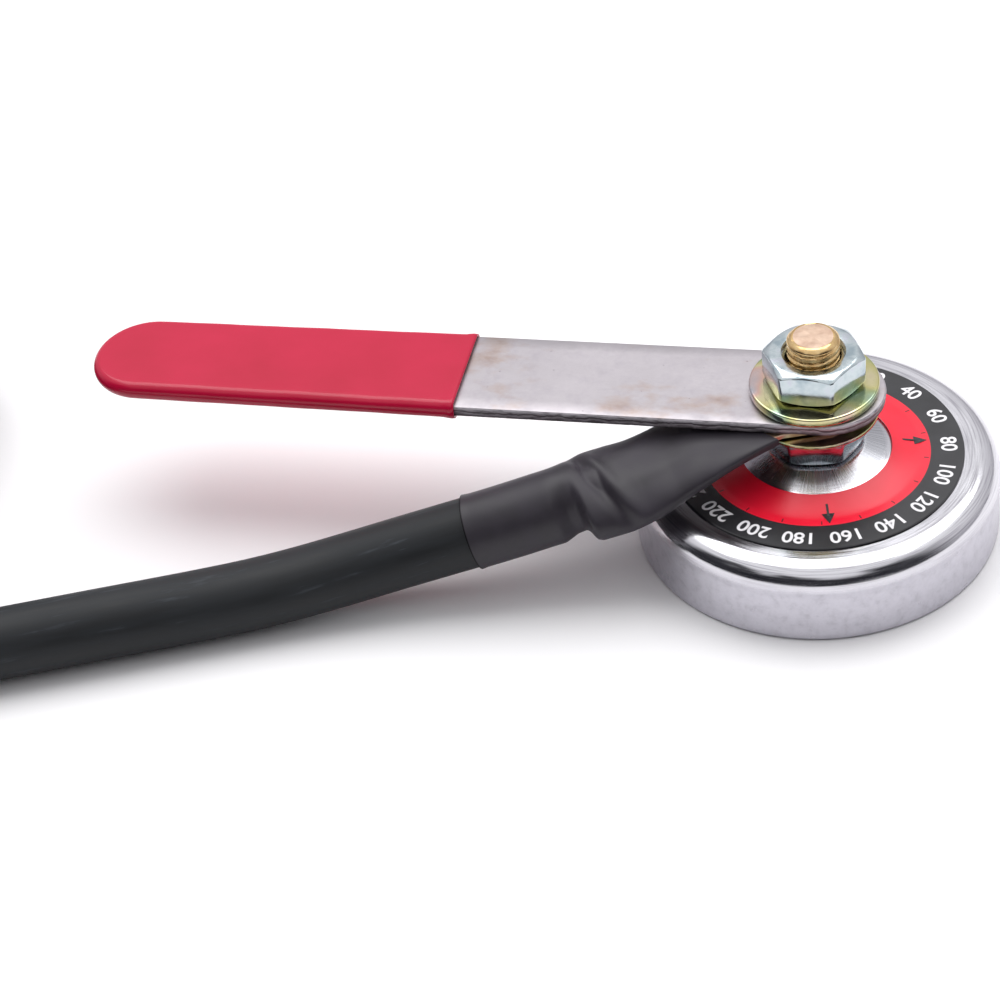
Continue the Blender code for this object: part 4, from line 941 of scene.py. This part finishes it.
def make_stud():
    """Contact, neck and stud in one: rows of a turned profile up to the thread, whose radius is
    outer - depth * w(height / pitch - turn), where w is a valley about a quarter of a pitch to
    each side, between broad round crests.
    """
    count = 144
    angle = 2 * np.pi * np.arange(count) / count
    r = np.linspace(0.0, 0.0106, 60)
    machined = 0.00002 * (1 - np.cos(2 * np.pi * r / 0.0009)) + 0.00001
    low = np.concatenate([
        np.stack([r, machined], axis=1), quarter(0.0106, 0.0004, 0.0004, -90, 0, 5),
        [(CONTACT_RADIUS, NECK_BOTTOM), (NECK_RADIUS, NECK_BOTTOM), (NECK_RADIUS, NECK_TOP),
         (STUD_RADIUS, NECK_TOP)],
    ])
    z = np.arange(0.0176, STUD_TOP - 0.00001, THREAD_PITCH / 14)
    phase = (z[:, None] / THREAD_PITCH - angle[None] / (2 * np.pi)) % 1
    valley = ease(1 - np.abs(phase - 0.5) / 0.27)
    taper = np.clip((STUD_TOP - z[:, None]) / 0.0009, 0, 1)
    outer = STUD_RADIUS - 0.0010 * (1 - taper)**1.6
    thread = np.minimum(outer, STUD_RADIUS - THREAD_DEPTH * valley)
    radius = np.concatenate([np.tile(low[:, :1], (1, count)), thread])
    height = np.concatenate([np.tile(low[:, 1:], (1, count)), np.tile(z[:, None], (1, count))])
    cap_r = np.array([0.0037, 0.0034, 0.0026, 0.0014, 0.0])[:, None]
    cap_z = STUD_TOP - np.array([0.00006, 0.00002, 0.0, 0.0, 0.0])[:, None]
    wave = 0.00005 * np.sin(3 * angle[None] + cap_r * 1500)
    radius = np.concatenate([radius, np.tile(cap_r, (1, count))])
    height = np.concatenate([height, cap_z + np.minimum(wave, 0) * (cap_r > 0)])
    grid = np.stack([radius * np.cos(angle), radius * np.sin(angle), height], axis=2)
    stud = grid_piece("contact_and_stud", grid, False, True, None, 40)
    dress(stud, "stud", "magnet_base", "contact_brass", "contact_stud")
    stud.data.materials.append(MATERIALS["stud_top"])
    centres = np.empty(3 * len(stud.data.polygons), np.float32)
    stud.data.polygons.foreach_get("center", centres)
    x, y, z = centres.reshape(-1, 3).T
    sawn = (z > STUD_TOP - 0.0002) & (np.hypot(x, y) < 0.0038)
    stud.data.polygons.foreach_set("material_index", sawn.astype(np.int32))
    return stud


make_cup()
make_label()
make_underside()
make_stud()


# Nuts and washers

def hex_nut(name, low, height, turn, body, node):
    """Rows of a nut's section at each angle: the flats stand at (width / 2) / cos(angle from the
    middle of a flat), with corners rounded; the chamfer falls at 30 degrees outside a circle.
    """
    count = 240
    angle = 2 * np.pi * np.arange(count) / count
    from_flat = (angle + np.pi / 6) % (np.pi / 3) - np.pi / 6
    flat = NUT_ACROSS_FLATS / 2
    reach = np.minimum(flat / np.cos(from_flat), flat / math.cos(math.pi / 6) - 0.00018)
    crown = NUT_CROWN_RADIUS
    drop = 0.00005 + np.maximum(reach - crown, 0) * math.tan(math.radians(30))
    soft = 0.00022
    rows = [
        (NUT_BORE_RADIUS, height - 0.0009), (NUT_BORE_RADIUS + 0.0004, height - 0.0004),
        (NUT_BORE_RADIUS + 0.0008, height - 0.00005), (NUT_BORE_RADIUS + 0.0011, height),
        (crown - 0.0003, height), (crown, height - 0.00006),
        (reach - soft, height - drop + 0.00008), (reach - soft * 0.3, height - drop - soft * 0.3),
        (reach, height - drop - soft), (reach, height / 2), (reach, drop + soft),
        (reach - soft * 0.3, drop + soft * 0.3), (reach - soft, drop - 0.00008), (crown, 0.00006),
        (crown - 0.0003, 0.0), (NUT_BORE_RADIUS + 0.0011, 0.0), (NUT_BORE_RADIUS + 0.0008, 0.00005),
        (NUT_BORE_RADIUS + 0.0004, 0.0004), (NUT_BORE_RADIUS, 0.0009),
    ]
    radius = np.stack([np.broadcast_to(r, (count,)) for r, _ in rows])
    level = low + np.stack([np.broadcast_to(z, (count,)) for _, z in rows])
    wide = angle + turn + np.pi / 6
    grid = np.stack([radius * np.cos(wide), radius * np.sin(wide), level], axis=2)
    nut = grid_piece(name, grid, True, True, None, 24)
    return dress(nut, "zinc", body, "nut_zinc", node)


def washer(name, node, body):
    """A punched washer: its lower edge is rolled over by the die and its upper edge is sharper."""
    low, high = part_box(node)[0][2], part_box(node)[1][2]
    thick = high - low
    profile = [(STUD_HOLE_RADIUS, low, 0.0001), (STUD_HOLE_RADIUS, high, 0.0002),
               (WASHER_RADIUS, high, thick * 0.22), (WASHER_RADIUS, low, thick * 0.42)]
    return dress(turned(name, rounded(profile, 7), 200), "chromate", body, "washer_chromate", node)


NUT_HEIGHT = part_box("upper_nut")[1][2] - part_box("upper_nut")[0][2]
hex_nut("clamp_nut_hex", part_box("upper_nut")[0][2], NUT_HEIGHT, math.radians(-3), "clamp_nut",
        "upper_nut")
hex_nut("base_nut_hex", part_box("lower_nut")[0][2], NUT_HEIGHT, math.radians(8), "magnet_base",
        "lower_nut")
washer("clamp_washer_disc", "upper_washer", "clamp_washer")
washer("base_washer_disc", "lower_washer", "magnet_base")


# Lever

def strip_outline(count):
    """Points round the strip at even distances: straight sides and a half circle at each end."""
    half, tip = STRIP_WIDTH / 2, STRIP_TIP_WIDTH / 2
    end = np.radians(np.linspace(-90, 90, 60))
    near = np.stack([STRIP_PAST_STUD - half + half * np.cos(end), half * np.sin(end)], axis=1)
    far = np.stack([tip - STRIP_REACH - tip * np.cos(end), -tip * np.sin(end)], axis=1)
    mouth = np.array([(-GRIP_MOUTH, half), (-GRIP_MOUTH, -half)])
    line = np.concatenate([near, mouth[:1], far, mouth[1:], near[:1]])
    line = np.c_[line, np.zeros(len(line))]
    places = np.linspace(0, line_distance(line)[-1], count, endpoint=False)
    return at_distance(line, places)[:, :2]


def make_strip():
    """Rings from the stud's hole to the outline, down the sheared edge and back underneath; every
    ring is hole + share * (outline - hole). The shear rolls the top edge over and leaves a burr.
    """
    count = 720
    outline = strip_outline(count)
    direction = np.arctan2(outline[:, 1], outline[:, 0])
    hole = STUD_HOLE_RADIUS * np.stack([np.cos(direction), np.sin(direction)], axis=1)
    side = np.roll(outline, 1, 0) - np.roll(outline, -1, 0)
    inward = np.stack([side[:, 1], -side[:, 0]], axis=1)
    inward /= np.linalg.norm(inward, axis=1)[:, None]
    inward *= np.sign((inward * -outline).sum(1))[:, None]
    low, high = STRIP_Z, STRIP_Z + STRIP_THICKNESS
    along = np.arange(count)
    ripple = np.sin(along * 0.9) * np.sin(along * 0.23 + 1) + np.sin(along * 1.7 + 2) * 0.5
    tear = 0.00005 * np.abs(ripple)

    def face_ring(share):
        """The ring at a share of the way from the hole to just inside the outline."""
        return hole + (outline + inward * 0.0003 - hole) * share

    rings = [(hole, high - 0.0002, 0.0), (hole * 1.03, high, 0.0)]
    rings += [(face_ring(share), high, 0.0) for share in (0.15, 0.4, 0.7)]
    # inset, depth below the top and the attribute edge, down the sheared edge
    for inset, down, value in [(0.00030, 0.0, 0.0), (0.00014, 0.00004, 0.3),
                               (0.00004, 0.00014, 0.9), (0.0, 0.0003, 1.0), (0.0, 0.0009, 1.42),
                               (0.00005, 0.00105, 1.5), (0.00004, 0.0014, 1.65),
                               (0.00008, 0.0019, 1.88), (0.00012, 0.00216, 2.0),
                               (0.0002, 0.0022, 2.0)]:
        inset = inset + tear * (value > 1.45)
        rings.append((outline + inward * inset[:, None], high - down, value))
    rings += [(face_ring(share), low, 0.0) for share in (0.7, 0.4, 0.15)]
    rings += [(hole * 1.03, low, 0.0), (hole, low + 0.0002, 0.0)]
    flat = np.stack([ring for ring, _, _ in rings])
    height = np.tile(np.array([level for _, level, _ in rings])[:, None, None], (1, count, 1))
    values = np.tile(np.array([value for _, _, value in rings])[:, None], (1, count))
    grid = np.concatenate([flat, height], axis=2)
    strip = grid_piece("lever_steel", drooped(grid), True, True, None, 40, ("edge", values))
    return dress(strip, "strip", "lever", "strip_steel", "lever_strip")


def make_grip():
    """Half sections carried round the grip's outline: from the middle line out over a nearly flat
    top, round the edge and back underneath. The dip's thickness drifts by 0.1 mm along it, and it
    rolls to a lip at its mouth.
    """
    half, tip = GRIP_HALF_WIDTH, GRIP_TIP_RADIUS
    centre_x = tip - GRIP_REACH
    straight = np.linspace(-GRIP_MOUTH, centre_x, 90)
    share = (straight + GRIP_MOUTH) / (centre_x + GRIP_MOUTH)
    width = half + (tip - half) * share
    turn = np.radians(np.linspace(-90, -270, 61))[1:-1]
    near_side = np.stack([straight, straight * 0], axis=1)
    middle = np.concatenate([near_side, np.tile([(centre_x, 0.0)], (len(turn), 1)),
                             near_side[::-1]])
    outward = np.concatenate([np.tile([(0.0, -1.0)], (len(straight), 1)),
                              np.stack([np.cos(turn), np.sin(turn)], axis=1),
                              np.tile([(0.0, 1.0)], (len(straight), 1))])
    reach = np.concatenate([width, np.full(len(turn), tip), width[::-1]])
    from_mouth = np.abs(middle[:, 0] + GRIP_MOUTH)
    lip = 0.00016 * bump(from_mouth, 0.0008, 0.0010)
    drift = 0.00006 * np.sin(from_mouth * 260) + 0.00004 * np.sin(from_mouth * 610 + 1)
    thick = GRIP_HALF_THICKNESS + lip + drift * 0.5
    edge = np.radians(np.linspace(90, -90, 25))
    inner = np.array([0.0, 0.3, 0.6, 0.8, 0.92])  # shares of the way out over the flat
    across = np.concatenate([inner, np.ones(25), inner[::-1]])
    swell = np.concatenate([np.zeros(5), np.cos(edge), np.zeros(5)]) * GRIP_EDGE_RADIUS
    level = np.concatenate([np.ones(5), np.sin(edge), -np.ones(5)])
    rise = np.array([0.00010, 0.00009, 0.00006, 0.00003, 0.00001])
    crown = np.concatenate([rise, np.zeros(25), -rise[::-1]])
    out = (reach + lip - GRIP_EDGE_RADIUS)[:, None] * across[None] + swell[None]
    plan = middle[:, None] + outward[:, None] * out[..., None]
    height = (STRIP_Z + STRIP_THICKNESS / 2) + thick[:, None] * level[None] + crown[None]
    shell = grid_piece("grip_vinyl_dip", drooped(np.concatenate([plan, height[..., None]], axis=2)),
                       False, False, None, 60)
    wall = shell.modifiers.new("wall", "SOLIDIFY")
    wall.thickness = GRIP_WALL
    wall.offset = -1.0
    return dress(shell, "vinyl", "lever", "grip_vinyl", "lever_grip")


make_strip()
make_grip()


# CAD nodes shown as they are

for node, finish in (("cable_lug", "tin"), ("lug_cable_core", "copper"),
                     ("plug_cable_core", "copper"), ("plug_set_screw_1", "screw"),
                     ("plug_set_screw_2", "screw")):
    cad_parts[node].data.materials.clear()
    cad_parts[node].data.materials.append(MATERIALS[finish])


# Floor, lights and surroundings

def make_stage():
    """A pale floor that runs out of view."""
    mesh = bpy.data.meshes.new("floor")
    side = 4.0
    mesh.from_pydata([(-side, -side, -0.0002), (side, -side, -0.0002), (side, side, -0.0002),
                      (-side, side, -0.0002)], [], [(0, 1, 2, 3)])
    floor = bpy.data.objects.new("floor", mesh)
    made, _, shader = new_material("pale_floor", Roughness=0.9)
    shader.inputs["Base Color"].default_value = linear("#F4F3F4")
    mesh.materials.append(made)
    bpy.context.scene.collection.objects.link(floor)


def softbox(name, place, aim, size, power):
    """A square soft light at a place, facing a point."""
    data = bpy.data.lights.new(name, "AREA")
    data.shape = "RECTANGLE"
    data.size, data.size_y = size
    data.energy = power
    light = bpy.data.objects.new(name, data)
    light.location = place
    ahead = np.array(aim, float) - np.array(place, float)
    ahead /= np.linalg.norm(ahead)
    light.rotation_euler = (math.acos(-ahead[2]), 0.0, math.atan2(-ahead[0], ahead[1]))
    bpy.context.scene.collection.objects.link(light)


def make_lights():
    """A broad overhead softbox, and surroundings that are bright above, behind and to the sides,
    with a ragged dark part low in front that the polished metals mirror as a dark band.
    """
    softbox("overhead", (-0.10, 0.55, 1.60), (-0.03, 0.0, 0.0), (2.2, 1.4), 26.0)
    world = bpy.data.worlds.new("studio")
    bpy.context.scene.world = world
    world.use_nodes = True
    tree = world.node_tree
    background = tree.nodes["Background"]
    direction = add(tree, "SeparateXYZ", Vector=add(tree, "TexCoord").outputs["Generated"])
    sky = ramp(tree, direction.outputs["Z"], [(0.0, "#B4B3B8"), (0.35, "#DAD9DD"),
                                              (0.75, "#F6F6F8")])
    front = spread(tree, direction.outputs["Y"], 0.08, -0.34, 0.0, 1.0)
    clouds = noise(tree, 0.55, 2.0, source=add(tree, "TexCoord").outputs["Generated"])
    ragged = spread(tree, clouds.outputs[0], 0.3, 0.7, -0.22, 0.22)
    level = add(tree, "Math", {"operation": "ADD"}, i0=direction.outputs["Z"],
                i1=ragged.outputs[0])
    low = spread(tree, level.outputs[0], 0.70, 0.55, 0.0, 1.0)
    dark = add(tree, "Math", {"operation": "MULTIPLY"}, i0=front.outputs[0], i1=low.outputs[0])
    tree.links.new(mix(tree, dark.outputs[0], sky.outputs[0], "#303035"),
                   background.inputs["Color"])
    background.inputs["Strength"].default_value = 1.05


make_stage()
make_lights()
